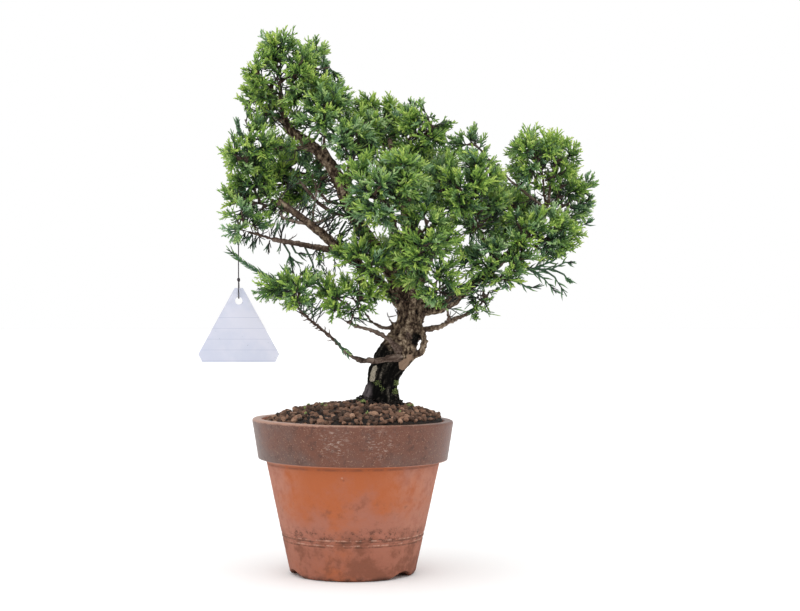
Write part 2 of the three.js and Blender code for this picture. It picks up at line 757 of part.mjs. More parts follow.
function growSideStem(growth, joint, side, stepCount, owner, random) {
  const face = joint.sides[side * 2];
  if (!growth.faces.includes(face)) return false;
  const foot = growth.middle(face);
  const out = growth.normal(face);
  const lean = THREE.MathUtils.degToRad(between(random, ...SIDE_STEM_LEAN));
  const way = joint.direction.clone().multiplyScalar(Math.cos(lean)).addScaledVector(out, Math.sin(lean));
  const places = [];
  for (let i = 1; i <= stepCount; i += 1) {
    const place = foot.clone().addScaledVector(way, SIDE_STEM_STEP * i);
    place.z += 0.1 * i * i;
    places.push(place);
  }
  const end = places[places.length - 1].clone().addScaledVector(way, SHOOT_LENGTH);
  if (!isClear(foot, places[0], STEM_CLEARANCE, [owner])) return false;
  if (!isClear(places[0], end, STEM_CLEARANCE, [])) return false;
  const radii = places.map((place, index) => SIDE_STEM_RADIUS - SIDE_STEM_THINNING * index);
  const grown = growth.attempt(() => {
    growth.faces = growth.faces.filter((other) => other !== face);
    const stem = growth.stem(face, places, radii);
    const tip = lastTip(stem, random);
    growth.close(stem.end, tip);
    return { stem, tip };
  });
  if (!grown) return false;
  const name = `${owner} side ${growth.points.length}`;
  takeStem(grown.stem, grown.tip, SIDE_STEM_RADIUS, name);
  grown.stem.joints.slice(1).forEach((part) => dressJoint(growth, part, name, random));
  return true;
}

function dressJoint(growth, joint, owner, random) {
  for (let side = 0; side < 6; side += 1) {
    const lean = THREE.MathUtils.degToRad(between(random, ...SHOOT_LEAN));
    const length = SHOOT_LENGTH * between(random, 0.75, 1.15);
    if (random() < SHOOT_SHARE) growShoot(growth, joint, side, lean, length, owner);
  }
}

function prepareLimb(limb) {
  limb.curve = limbCurve(limb.route);
  return limb;
}

function makeWood() {
  const random = seededRandom(31);
  [TRUNK, KNOB, KNOB_HEART, ...Object.values(LIMBS)].forEach(prepareLimb);
  const branches = CLUMPS.map((clump) => clumpBranch(clump, random));
  let wood = solidOf(limbGeometry(TRUNK));
  takeLimb(TRUNK, 'wood');
  for (const tube of [KNOB, KNOB_HEART, ...Object.values(LIMBS), ...branches]) {
    wood = wood.add(solidOf(limbGeometry(tube)));
    takeLimb(tube, 'wood');
  }
  const geometry = geometryOf(wood);
  addPiece('wood', geometry, finish(BARK, 0.85));
  return { branches, skin: trianglesOf(geometry) };
}

function trianglesOf(geometry) {
  const corners = geometry.index.array;
  const triangles = [];
  for (let i = 0; i < corners.length; i += 3) {
    const [a, b, c] = [0, 1, 2].map((k) => {
      return new THREE.Vector3().fromBufferAttribute(geometry.attributes.position, corners[i + k]);
    });
    triangles.push(new THREE.Triangle(a, b, c));
  }
  return triangles;
}

// Each stem takes the first way that is clear of the wood and of the stems before it
function makeFoliage({ branches, skin }) {
  const random = seededRandom(11);
  let number = 0;
  CLUMPS.forEach((clump, index) => {
    const start = random() * Math.PI * 2;
    for (let stem = 0; stem < clump.stems; stem += 1) {
      let route = null;
      for (let attempt = 0; attempt < ROUTE_TRIES && !route; attempt += 1) {
        const candidate = stemRoute(clump, branches[index], skin, stem, start + attempt * ROUTE_TURN);
        if (routeIsClear(candidate)) route = candidate;
      }
      number += 1;
      if (!route) throw new Error(`No clear way for stem ${stem + 1} of clump ${index + 1}`);
      const name = `leafy_stem_${String(number).padStart(2, '0')}`;
      const growth = growLeafyStem(route, name, random);
      addPiece(name, growth.geometry(), finish(number % 2 === 0 ? LEAF_GREEN : LEAF_DEEP, 0.6));
    }
  });
}

// Soil: a filling with its mound, and a granular surface as relief
function moundHeight(x, y) {
  const share = Math.min(1, Math.hypot(x, y) / innerRadius(SOIL_EDGE));
  return SOIL_EDGE + SOIL_MOUND * (1 - share * share) ** SOIL_FULLNESS;
}

// A slab whose top is a field of granules: a peak for each one, with valleys all round it
function granularSlab() {
  const random = seededRandom(5);
  const rowPitch = GRANULE_PITCH * Math.sqrt(0.75);
  const half = Math.ceil(RIM_RADIUS / rowPitch);
  const side = 2 * half + 1;
  const top = [];
  const faces = [];
  for (let row = 0; row < side; row += 1) {
    for (let column = 0; column < side; column += 1) {
      const slant = column - Math.floor(row / 2);
      const shift = () => between(random, -GRANULE_SHIFT, GRANULE_SHIFT);
      const x = (column - half + (row % 2) / 2) * GRANULE_PITCH + shift();
      const y = (row - half) * rowPitch + shift();
      const isCrown = (((slant - row) % 3) + 3) % 3 === 0;
      const lift = between(random, -GRANULE_LIFT, GRANULE_LIFT);
      const relief = (isCrown ? GRANULE_CROWN : GRANULE_VALLEY) + lift;
      top.push([x, y, moundHeight(x, y) + relief]);
    }
  }
  const size = side * side;
  const quad = (a, b, c, d) => faces.push(a, b, c, a, c, d);
  for (let row = 0; row < side - 1; row += 1) {
    for (let column = 0; column < side - 1; column += 1) {
      const a = row * side + column;
      const corners = row % 2 === 0
        ? [a, a + 1, a + side, a + 1, a + side + 1, a + side]
        : [a, a + 1, a + side + 1, a, a + side + 1, a + side];
      faces.push(...corners);
      faces.push(...corners.map((corner) => corner + size).reverse());
    }
  }
  for (let i = 0; i < side - 1; i += 1) {
    const back = (side - 1) * side + i;
    const left = i * side;
    const right = left + side - 1;
    quad(i, i + size, i + 1 + size, i + 1);
    quad(back + 1, back + 1 + size, back + size, back);
    quad(left + side, left + side + size, left + size, left);
    quad(right, right + size, right + side + size, right + side);
  }
  const low = top.map(([x, y]) => [x, y, 0]);
  const geometry = new THREE.BufferGeometry();
  geometry.setAttribute('position', new THREE.Float32BufferAttribute([...top, ...low].flat(), 3));
  geometry.setIndex(faces);
  return geometry;
}

function makeSoil() {
  const above = POT_HEIGHT + SOIL_MOUND * 2;
  const filling = turned([
    [0, FLOOR + GAP],
    [innerRadius(FLOOR) - 2 * GAP, FLOOR + GAP],
    [innerRadius(POT_HEIGHT) - 2 * GAP, POT_HEIGHT],
    [innerRadius(POT_HEIGHT) - 2 * GAP, above],
    [0, above],
  ], POT_SEGMENTS);
  let soil = solidOf(filling).intersect(solidOf(granularSlab()));
  const [x, y, z] = TRUNK.route[0];
  const seatRadius = TRUNK.radii[0] + TRUNK_SEAT_GAP;
  const seat = new THREE.CylinderGeometry(seatRadius, seatRadius, 2 * TRUNK_SEAT_DEPTH, TRUNK.sides);
  seat.rotateX(Math.PI / 2);
  seat.translate(x, y, z);
  soil = soil.subtract(solidOf(limbGeometry(TRUNK, GAP))).subtract(solidOf(seat));
  for (const angle of DRAIN_ANGLES) {
    const place = meshPlace(angle);
    const side = MESH_SIDE + 2 * GAP;
    const recess = new THREE.BoxGeometry(side, side, 2 * (MESH_THICKNESS + GAP));
    recess.rotateZ(place.turn);
    recess.translate(place.x, place.y, FLOOR + GAP);
    soil = soil.subtract(solidOf(recess));
  }
  addPiece('soil', geometryOf(soil), finish(SOIL_BROWN, 0.95));
}

// Hang tag: a thin plate, a triangle with clipped corners, and a hole near the top
function makeTag() {
  const half = TAG_WIDTH / 2;
  const top = TAG_HOLE_BELOW_TOP;
  const low = top - TAG_HEIGHT;
  const plate = new THREE.Shape();
  plate.moveTo(-TAG_CLIP / 2, top);
  plate.lineTo(-half, low + TAG_CLIP);
  plate.lineTo(-half + TAG_CLIP / 2, low);
  plate.lineTo(half - TAG_CLIP / 2, low);
  plate.lineTo(half, low + TAG_CLIP);
  plate.lineTo(TAG_CLIP / 2, top);
  const hole = new THREE.Path();
  hole.absarc(0, 0, TAG_HOLE_RADIUS, 0, Math.PI * 2, true);
  plate.holes.push(hole);
  const settings = { depth: TAG_THICKNESS, bevelEnabled: false, curveSegments: 12 };
  const geometry = new THREE.ExtrudeGeometry(plate, settings);
  geometry.translate(0, 0, -TAG_THICKNESS / 2);
  geometry.rotateX(Math.PI / 2);
  const tag = addPiece('hang_tag', geometry, finish(TAG_WHITE, 0.35));
  tag.position.copy(vector(TAG_HOLE_AT));
  const [x, y, z] = TAG_HOLE_AT;
  const clip = TAG_CLIP / 2;
  const corners = [[x, y, z + top], [x - half, y, z + low + clip], [x + half, y, z + low + clip]].map(vector);
  corners.forEach((corner, index) => take(corner, corners[(index + 1) % 3], clip, 'hang_tag'));
}

// Hang thread: over the twig, down in front of the tag, through its hole and up behind it
function makeThread() {
  const curve = new THREE.CatmullRomCurve3(THREAD_ROUTE.map(vector), false, 'centripetal');
  const section = new THREE.Shape();
  for (let i = 0; i < THREAD_SIDES; i += 1) {
    const turn = (i * 2 * Math.PI) / THREAD_SIDES;
    const corner = [THREAD_RADIUS * Math.cos(turn), THREAD_RADIUS * Math.sin(turn)];
    if (i === 0) section.moveTo(...corner);
    else section.lineTo(...corner);
  }
  const steps = Math.round(curve.getLength() / THREAD_STEP);
  const settings = { steps, bevelEnabled: false, extrudePath: curve };
  const geometry = new THREE.ExtrudeGeometry(section, settings);
  addPiece('hang_thread', geometry, finish(THREAD_BLACK, 0.7));
  for (let i = 0; i < steps; i += 2) {
    const to = curve.getPointAt(Math.min(1, (i + 2) / steps));
    take(curve.getPointAt(i / steps), to, 2 * THREAD_RADIUS, 'hang_thread');
  }
}

makePot();
makeDrainMeshes();
makeTag();
makeThread();
makeFoliage(makeWood());
makeSoil();

export default object;
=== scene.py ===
"""A juniper bonsai in a round terracotta training pot, with a blank tag on a thread.

Metres, +Z up, +X to the right and +Y to the back, seen from the front. The origin is the middle of the
pot's underside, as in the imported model.
"""
import functools
import itertools
import logging
import math
import random
from collections.abc import Callable, Iterator
from dataclasses import dataclass, field
from enum import Enum

import bmesh
import bpy
import numpy as np
from mathutils import Matrix, Vector, noise
from mathutils.kdtree import KDTree


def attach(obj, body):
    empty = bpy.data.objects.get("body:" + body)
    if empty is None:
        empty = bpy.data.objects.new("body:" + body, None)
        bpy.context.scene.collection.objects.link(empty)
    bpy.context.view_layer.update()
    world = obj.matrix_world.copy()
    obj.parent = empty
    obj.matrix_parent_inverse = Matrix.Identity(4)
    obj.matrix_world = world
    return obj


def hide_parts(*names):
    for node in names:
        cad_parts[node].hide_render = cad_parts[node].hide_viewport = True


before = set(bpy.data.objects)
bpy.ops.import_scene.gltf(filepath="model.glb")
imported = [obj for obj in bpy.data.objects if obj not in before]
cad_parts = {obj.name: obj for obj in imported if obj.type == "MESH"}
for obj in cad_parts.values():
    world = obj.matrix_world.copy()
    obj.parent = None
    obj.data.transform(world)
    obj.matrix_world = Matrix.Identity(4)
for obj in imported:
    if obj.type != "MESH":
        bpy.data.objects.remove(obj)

log = logging.getLogger("bonsai")

Socket = bpy.types.NodeSocket
Piece = bpy.types.Object
Pair = tuple[float, float]
Triple = tuple[float, float, float]
Cloud = tuple[float, int, float]

MM = 0.001
UP = Vector((0.0, 0.0, 1.0))
BACK = Vector((0.0, 1.0, 0.0))
GOLDEN_TURN = math.radians(137.5)
JOINED = 0.004 * MM


def tone(red: int, green: int, blue: int) -> tuple[float, float, float, float]:
    """A colour in linear light, from its screen values.

    Args:
        red: Red, 0 to 255.
        green: Green, 0 to 255.
        blue: Blue, 0 to 255.

    Returns:
        Red, green, blue and alpha, 0 to 1.
    """
    values = [value / 255 for value in (red, green, blue)]
    linear = [v / 12.92 if v <= 0.04045 else ((v + 0.055) / 1.055) ** 2.4 for v in values]
    return (linear[0], linear[1], linear[2], 1.0)


def clamped(value: float) -> float:
    """A number held between 0 and 1."""
    return min(1.0, max(0.0, value))


def smooth_step(low: float, high: float, value: float) -> float:
    """A soft rise from 0 at low to 1 at high.

    Args:
        low: Where the rise starts.
        high: Where the rise ends.
        value: The place on the rise.

    Returns:
        The height of the rise there, 0 to 1.
    """
    share = clamped((value - low) / (high - low))
    return share * share * (3 - 2 * share)


def around(radius: float, turn: float) -> Pair:
    """How far to the right and to the back a place is, from its radius and angle."""
    return radius * math.cos(turn), radius * math.sin(turn)


def thrown(rng: random.Random, spread: float) -> Vector:
    """A random vector, with a normal spread along each axis."""
    return Vector([rng.gauss(0, spread) for _ in range(3)])


def sideways(way: Vector, rng: random.Random) -> Vector:
    """A random direction, square to a given one.

    Args:
        way: The given direction.
        rng: The stream of random numbers.

    Returns:
        The random direction.
    """
    out = way.orthogonal().normalized()
    out.rotate(Matrix.Rotation(rng.uniform(0, math.tau), 3, way))
    return out


def distance(place: Vector, route: tuple) -> float:
    """The distance from a place to a line through points.

    Args:
        place: The place.
        route: The points, in the same unit.

    Returns:
        The distance to the nearest part of the line.
    """
    nearest = math.inf
    for a, b in zip(route, route[1:]):
        start, way = Vector(a), Vector(b) - Vector(a)
        share = clamped((place - start).dot(way) / way.length_squared)
        nearest = min(nearest, (start + way * share - place).length)
    return nearest


def ring_faces(first: int, rings: int, count: int, inward: bool = False) -> list[tuple[int, ...]]:
    """The faces between rings of points that follow one another.

    Args:
        first: The number of the first ring's first point.
        rings: How many rings there are.
        count: How many points each ring has.
        inward: Whether the faces look the other way.

    Returns:
        The faces.
    """
    faces = []
    for base in range(first, first + (rings - 1) * count, count):
        for k in range(count):
            m = (k + 1) % count
            face = (base + k, base + m, base + count + m, base + count + k)
            faces.append((face[0], face[3], face[2], face[1]) if inward else face)
    return faces


def tree_of(points: list[Vector]) -> KDTree:
    """A search tree of points, which are numbered in their order."""
    tree = KDTree(len(points))
    for number, point in enumerate(points):
        tree.insert(point, number)
    tree.balance()
    return tree


class Shade:
    """A material's node tree, with short ways to add the nodes that the finishes need."""

    def __init__(self, name: str, roughness: float) -> None:
        """Start a material with one principled shader.

        Args:
            name: The material's name.
            roughness: The roughness where no node sets it.
        """
        self.material = bpy.data.materials.new(name)
        self.material.use_nodes = True
        self.tree = self.material.node_tree
        self.tree.nodes.clear()
        self.shader = self.node("BsdfPrincipled", Roughness=roughness)
        self.node("OutputMaterial", Surface=self.shader.outputs["BSDF"])
        self.place = self.node("TexCoord").outputs["Object"]
        self.x, _, self.z = self.node("SeparateXYZ", Vector=self.place).outputs
        self.colour: object = None

    def node(self, kind: str, **inputs: object) -> bpy.types.Node:
        """Add a node.

        Args:
            kind: Its type, without the first part that all types share.
            **inputs: What goes into its inputs, by their names with an underscore for a space.

        Returns:
            The node.
        """
        node = self.tree.nodes.new(f"ShaderNode{kind}")
        for name, value in inputs.items():
            self.feed(node.inputs[name.replace("_", " ")], value)
        return node

    def feed(self, target: Socket, value: object) -> None:
        """Put a socket's output or a plain value into an input.

        Args:
            target: The input socket.
            value: An output socket, a number or a colour.
        """
        if isinstance(value, Socket):
            self.tree.links.new(value, target)
        else:
            target.default_value = value

    def stretched(self, scale: Triple) -> Socket:
        """The object's own coordinates, scaled along each axis.

        Args:
            scale: The factor along each axis.

        Returns:
            The socket of the scaled coordinates.
        """
        return self.node("Mapping", Vector=self.place, Scale=scale).outputs["Vector"]

    def noise(
        self, scale: float, detail: float = 4.0, rough: float = 0.55, at: Socket | None = None
    ) -> Socket:
        """Cloudy noise.

        Args:
            scale: Cells per metre.
            detail: How many finer layers lie on it.
            rough: How strong the finer layers are.
            at: The coordinates, or none for the object's own.

        Returns:
            The socket of the noise, 0 to 1.
        """
        node = self.node("TexNoise", Vector=at or self.place, Scale=scale, Detail=detail, Roughness=rough)
        return node.outputs["Fac"]

    def cells(self, scale: float) -> Socket:
        """The distance to the nearest of many scattered points.

        Args:
            scale: Cells per metre.

        Returns:
            The socket of the distance.
        """
        return self.node("TexVoronoi", Vector=self.place, Scale=scale).outputs["Distance"]

    def stored(self, name: str) -> Socket:
        """A number that the mesh keeps at its points.

        Args:
            name: The attribute's name.

        Returns:
            The socket of that number.
        """
        node = self.node("Attribute")
        node.attribute_type = "GEOMETRY"
        node.attribute_name = name
        return node.outputs["Fac"]

    def sum(self, operation: str, first: object, second: object = 0.0) -> Socket:
        """Work out a number from two others.

        Args:
            operation: The Math node's operation.
            first: A socket or a number.
            second: A socket or a number.

        Returns:
            The socket of the result.
        """
        node = self.node("Math")
        node.operation = operation
        self.feed(node.inputs[0], first)
        self.feed(node.inputs[1], second)
        return node.outputs[0]

    def times(self, first: object, second: object) -> Socket:
        """The product of two numbers."""
        return self.sum("MULTIPLY", first, second)

    def plus(self, first: object, second: object) -> Socket:
        """Two numbers together."""
        return self.sum("ADD", first, second)

    def minus(self, first: object, second: object) -> Socket:
        """The first number less the second."""
        return self.sum("SUBTRACT", first, second)

    def most(self, first: object, second: object) -> Socket:
        """The larger of two numbers."""
        return self.sum("MAXIMUM", first, second)

    def range(self, value: Socket, low: float, high: float) -> Socket:
        """A soft rise from 0 to 1 as a number goes from low to high.

        Args:
            value: The number's socket.
            low: Where the rise starts.
            high: Where the rise ends.

        Returns:
            The socket of the rise.
        """
        node = self.node("MapRange", Value=value, From_Min=low, From_Max=high)
        node.interpolation_type = "SMOOTHSTEP"
        return node.outputs["Result"]

    def spot(self, centre: Triple, inner: float, outer: float) -> Socket:
        """A round patch with a soft edge.

        Args:
            centre: The middle of the patch, in metres.
            inner: The radius inside which it is whole.
            outer: The radius at which it ends.

        Returns:
            The socket of the patch, 1 inside and 0 outside.
        """
        node = self.node("VectorMath")
        node.operation = "DISTANCE"
        self.feed(node.inputs[0], self.place)
        self.feed(node.inputs[1], centre)
        return self.range(node.outputs["Value"], outer, inner)

    def spots(self, places: tuple) -> Socket:
        """Several round patches, each with its centre, inner and outer radius."""
        return functools.reduce(self.most, [self.spot(*place) for place in places])

    def belt(self, height: float, outer: float, inner: float) -> Socket:
        """A level belt with soft edges.

        Args:
            height: The height of its middle.
            outer: How far from it the belt ends.
            inner: How far from it the belt is whole.

        Returns:
            The socket of the belt, 1 inside and 0 outside.
        """
        return self.range(self.sum("ABSOLUTE", self.minus(self.z, height)), outer, inner)

    def ramp(self, value: Socket, stops: tuple) -> Socket:
        """Colours along a number.

        Args:
            value: The number's socket.
            stops: Places from 0 to 1, each with its colour.

        Returns:
            The socket of the colour.
        """
        node = self.node("ValToRGB", Fac=value)
        elements = node.color_ramp.elements
        while len(elements) < len(stops):
            elements.new(0.5)
        for element, (place, colour) in zip(elements, stops):
            element.position = place
            element.color = colour
        return node.outputs["Color"]

    def lay(self, colour: object, mask: object, share: float = 1.0) -> None:
        """Lay a colour over the one that the material has so far.

        Args:
            colour: A socket or a colour.
            mask: Where the colour lies, 0 to 1.
            share: How much of it shows there.
        """
        node = self.node("Mix")
        node.data_type = "RGBA"
        self.feed(node.inputs[0], mask if share == 1.0 else self.times(mask, share))
        self.feed(node.inputs[6], self.colour)
        self.feed(node.inputs[7], colour)
        self.colour = node.outputs[2]

    def relief(self, height: Socket, strength: float, depth: float) -> None:
        """Let a height bend the light on the surface.

        Args:
            height: The socket of the height, 0 to 1.
            strength: How much of it shows.
            depth: The depth in metres for a height of 1.
        """
        node = self.node("Bump", Strength=strength, Distance=depth, Height=height)
        self.feed(self.shader.inputs["Normal"], node.outputs["Normal"])

    def finished(self, roughness: Socket | None = None) -> bpy.types.Material:
        """Give the shader its colour, and its roughness where that isn't the plain one.

        Args:
            roughness: The socket of the roughness, or none.

        Returns:
            The finished material.
        """
        self.feed(self.shader.inputs["Base Color"], self.colour)
        if roughness is not None:
            self.feed(self.shader.inputs["Roughness"], roughness)
        return self.material


@dataclass(frozen=True)
class BareClay:
    """Unglazed terracotta: orange in the middle, rosy and pale at the flanks by painted reflection, stained
    and scraped near the foot, with painted highlights and shade.
    """

    main: tuple = tone(164, 90, 54)
    rosy: tuple = tone(156, 100, 82)
    pale: tuple = tone(188, 134, 112)
    brown: tuple = tone(134, 78, 56)
    stain_and_shade: tuple = tone(108, 66, 50)
    dirt_and_shade: tuple = tone(58, 40, 32)
    chalk_and_highlight: tuple = tone(204, 168, 148)
    lines: Pair = (30.7 * MM, 27.0 * MM)
    line_shade: float = 1.2 * MM
    smudged_at: float = 52 * MM
    scraped_at: float = 33 * MM
    # The heights of the painted highlight on the ridge and of the painted shadow under the band.
    ridge_highlight_at: float = 85.4 * MM
    band_shadow_at: float = 82.9 * MM
    wart: Triple = (-5.7 * MM, -64.2 * MM, 76.4 * MM)
    clouds: Cloud = (26, 5, 0.6)
    mottle: Cloud = (150, 5, 0.65)
    blotches: Cloud = (62, 5, 0.65)
    specks: Cloud = (620, 3, 0.6)
    scrapes: Cloud = (300, 6, 0.8)
    breaks: Cloud = (110, 5, 0.75)
    grit: Cloud = (900, 4, 0.6)

    def build(self) -> bpy.types.Material:
        """Make the material."""
        shade = Shade("bare_clay", 0.85)
        shade.shader.inputs["Specular IOR Level"].default_value = 0.25
        clouds = shade.noise(*self.clouds)
        mottle = shade.noise(*self.mottle)
        shade.colour = self.main
        self.colour_body(shade, clouds, mottle)
        scraped = self.stain_foot(shade, clouds, mottle)
        self.mark_edges(shade, mottle)
        self.paint_wart_highlight_and_shade(shade)
        foot = shade.times(shade.range(shade.z, 5 * MM, 0.5 * MM), shade.range(mottle, 0.4, 0.6))
        shade.lay(self.dirt_and_shade, foot, 0.7)
        wart = shade.times(shade.spot(self.wart, 0.6 * MM, 2.4 * MM), 2.4)
        grain = shade.plus(shade.noise(*self.grit), shade.plus(wart, shade.times(scraped, -1.2)))
        shade.relief(grain, 0.5, 0.5 * MM)
        return shade.finished(shade.plus(shade.times(clouds, 0.2), 0.7))

    def colour_body(self, shade: Shade, clouds: Socket, mottle: Socket) -> None:
        """Lay rosy clouds, a painted reflection that makes the flanks rosy and pale, brown clouds and brown
        specks on the body.

        Args:
            shade: The node tree.
            clouds: The coarse noise.
            mottle: The finer noise.
        """
        # Painted reflection: the flanks are painted rosier and paler, as the white surroundings would light
        # them at a grazing angle; the clouds under it are the clay's own uneven tone.
        right, left = shade.range(shade.x, 12 * MM, 58 * MM), shade.range(shade.x, -26 * MM, -62 * MM)
        flank_reflection = shade.plus(right, left)
        under = shade.range(shade.z, 62 * MM, 34 * MM)
        rosy = shade.plus(clouds, shade.times(shade.plus(flank_reflection, under), 0.2))
        shade.lay(self.rosy, shade.range(rosy, 0.48, 0.74))
        shade.lay(self.pale, shade.times(flank_reflection, shade.range(mottle, 0.3, 0.62)), 0.45)
        brown = shade.plus(clouds, shade.times(mottle, 0.5))
        shade.lay(self.brown, shade.range(brown, 0.86, 0.98), 0.45)
        shade.lay(self.brown, shade.range(shade.noise(*self.specks), 0.66, 0.72), 0.5)

    def stain_foot(self, shade: Shade, clouds: Socket, mottle: Socket) -> Socket:
        """Stain, smudge and scrape the lower body, and make it browner towards the bottom.

        Args:
            shade: The node tree.
            clouds: The coarse noise.
            mottle: The finer noise.

        Returns:
            The socket of the scraped places.
        """
        blotch = shade.range(shade.noise(*self.blotches), 0.42, 0.6)
        shade.lay(self.stain_and_shade, shade.times(shade.range(shade.z, 42 * MM, 28 * MM), blotch), 0.75)
        # Browner towards the bottom.
        shade.lay(self.brown, shade.range(shade.z, 34 * MM, 20 * MM), 0.25)
        smudge = shade.belt(self.smudged_at, 14 * MM, 2 * MM)
        shade.lay(self.stain_and_shade, shade.times(smudge, shade.range(mottle, 0.5, 0.75)), 0.5)
        rough = shade.range(shade.noise(*self.scrapes, shade.stretched((0.8, 0.8, 1.0))), 0.51, 0.62)
        scraped = shade.times(shade.belt(self.scraped_at, 9 * MM, 2 * MM), rough)
        scraped = shade.times(scraped, shade.range(clouds, 0.38, 0.54))
        shade.lay(self.dirt_and_shade, scraped, 0.68)
        return scraped

    def mark_edges(self, shade: Shade, mottle: Socket) -> None:
        """Paint a highlight on the ridge and a shadow under the band, and mark the incised lines with chalk
        and painted highlights, and with dirt and painted shade below them.

        Args:
            shade: The node tree.
            mottle: The finer noise.
        """
        # Painted highlight along the ridge under the band.
        shade.lay(self.chalk_and_highlight, shade.belt(self.ridge_highlight_at, 1.3 * MM, 0.3 * MM), 0.3)
        # Painted shadow along the seam under the overhanging band.
        band_shadow = shade.belt(self.band_shadow_at, 1.5 * MM, 0.2 * MM)
        shade.lay(self.stain_and_shade, shade.times(band_shadow, shade.range(mottle, 0.3, 0.6)), 0.6)
        # The pale lines are partly chalky residue and partly a painted highlight on the incised lines.
        lines = shade.most(*(shade.belt(line, 0.75 * MM, 0.2 * MM) for line in self.lines))
        shade.lay(self.chalk_and_highlight, shade.times(lines, shade.range(shade.noise(*self.breaks), 0.46, 0.6)), 0.5)
        # Dirt and painted shade along the lower side of each incised line.
        cuts = shade.most(*(shade.belt(line - self.line_shade, 0.9 * MM, 0.2 * MM) for line in self.lines))
        shade.lay(self.dirt_and_shade, shade.times(cuts, shade.range(mottle, 0.36, 0.56)), 0.6)

    def paint_wart_highlight_and_shade(self, shade: Shade) -> None:
        """Paint a highlight on the upper side of the wart of clay and shade on its lower side."""
        x, y, z = self.wart
        shade.lay(self.chalk_and_highlight, shade.spot((x - 0.5 * MM, y, z + 0.8 * MM), 0.2 * MM, 1.3 * MM), 0.6)
        shade.lay(self.stain_and_shade, shade.spot((x + 0.7 * MM, y, z - 0.9 * MM), 0.2 * MM, 1.6 * MM), 0.7)


@dataclass(frozen=True)
class DarkSlip:
    """The semi-matte dark slip on the rim band, speckled, scuffed, and worn to the clay along its edge."""

    main: tuple = tone(100, 59, 43)
    grey_and_sheen: tuple = tone(92, 71, 64)
    deep: tuple = tone(70, 40, 31)
    tan: tuple = tone(184, 150, 126)
    worn: tuple = tone(156, 118, 100)
    scuff: tuple = tone(190, 172, 160)
    scuffs: tuple = (
        ((-12 * MM, -74 * MM, 103 * MM), 17 * MM, 0.7),
        ((22 * MM, -71 * MM, 103 * MM), 19 * MM, 0.45),
    )
    scuff_core: float = 2 * MM
    clouds: Cloud = (30, 6, 0.65)
    mottle: Cloud = (170, 5, 0.7)
    specks: Cloud = (950, 3, 0.6)
    scratches: Cloud = (520, 5, 0.75)
    wear: Cloud = (240, 4, 0.7)
    grit: Cloud = (520, 5, 0.6)
    worn_from: Pair = (115.6 * MM, 116.9 * MM)

    def build(self) -> bpy.types.Material:
        """Make the material."""
        shade = Shade("dark_slip", 0.5)
        shade.shader.inputs["Specular IOR Level"].default_value = 0.4
        clouds = shade.noise(*self.clouds)
        mottle = shade.noise(*self.mottle)
        # The grey is partly the slip's own uneven tone and partly a painted sheen towards the left side; it
        # also grows towards the lower edge.
        low = shade.plus(clouds, shade.times(shade.range(shade.z, 99 * MM, 88 * MM), 0.1))
        side = shade.plus(low, shade.times(shade.range(shade.x, -18 * MM, -60 * MM), 0.12))
        shade.colour = self.main
        shade.lay(self.grey_and_sheen, shade.range(side, 0.46, 0.84), 0.9)
        shade.lay(self.deep, shade.range(mottle, 0.5, 0.68), 0.7)
        specks = shade.range(shade.noise(*self.specks), 0.6, 0.68)
        shade.lay(self.tan, specks, 0.5)
        bits = shade.range(shade.noise(*self.scratches, shade.stretched((0.5, 0.5, 1.6))), 0.52, 0.66)
        for place, outer, share in self.scuffs:
            shade.lay(self.scuff, shade.times(shade.spot(place, self.scuff_core, outer), bits), share)
        edge = shade.plus(shade.z, shade.times(shade.noise(*self.wear), 2.6 * MM))
        shade.lay(self.worn, shade.range(edge, *self.worn_from))
        shade.relief(shade.plus(shade.noise(*self.grit), shade.times(mottle, 0.6)), 0.35, 0.5 * MM)
        return shade.finished(shade.plus(shade.times(specks, 0.3), 0.42))


@dataclass(frozen=True)
class BakedGranules:
    """Baked-clay granules: each one its own brown, with patches of dust."""

    stops: tuple = (
        (0.0, tone(40, 27, 20)),
        (0.3, tone(80, 56, 44)),
        (0.6, tone(116, 85, 67)),
        (0.85, tone(144, 107, 86)),
        (1.0, tone(172, 135, 111)),
    )
    dust: tuple = tone(160, 138, 116)
    pore_shade: tuple = tone(28, 19, 14)
    dusty: Cloud = (900, 4, 0.7)
    pores: Cloud = (1050, 5, 0.75)

    def build(self) -> bpy.types.Material:
        """Make the material."""
        shade = Shade("baked_granules", 0.95)
        shade.colour = shade.ramp(shade.stored("tint"), self.stops)
        shade.lay(self.dust, shade.range(shade.noise(*self.dusty), 0.5, 0.7), 0.35)
        # Painted shade in the pores, where the bump noise is low.
        rough = shade.noise(*self.pores)
        shade.lay(self.pore_shade, shade.range(rough, 0.46, 0.37), 0.55)
        shade.relief(rough, 0.8, 1.2 * MM)
        return shade.finished()


@dataclass(frozen=True)
class SoilBed:
    """The crumbs between the granules, nearly black: their own dark colour deepened as painted shade of the
    gaps.
    """

    dark: tuple = tone(12, 8, 6)
    light: tuple = tone(44, 31, 23)
    crumbs: Cloud = (460, 5, 0.7)

    def build(self) -> bpy.types.Material:
        """Make the material."""
        shade = Shade("soil_bed", 1.0)
        crumbs = shade.noise(*self.crumbs)
        # Nearly black: painted shade in the gaps between the granules, over the crumbs' own dark colour.
        shade.colour = self.dark
        shade.lay(self.light, shade.range(crumbs, 0.4, 0.65))
        shade.relief(crumbs, 0.9, 1.0 * MM)
        return shade.finished()


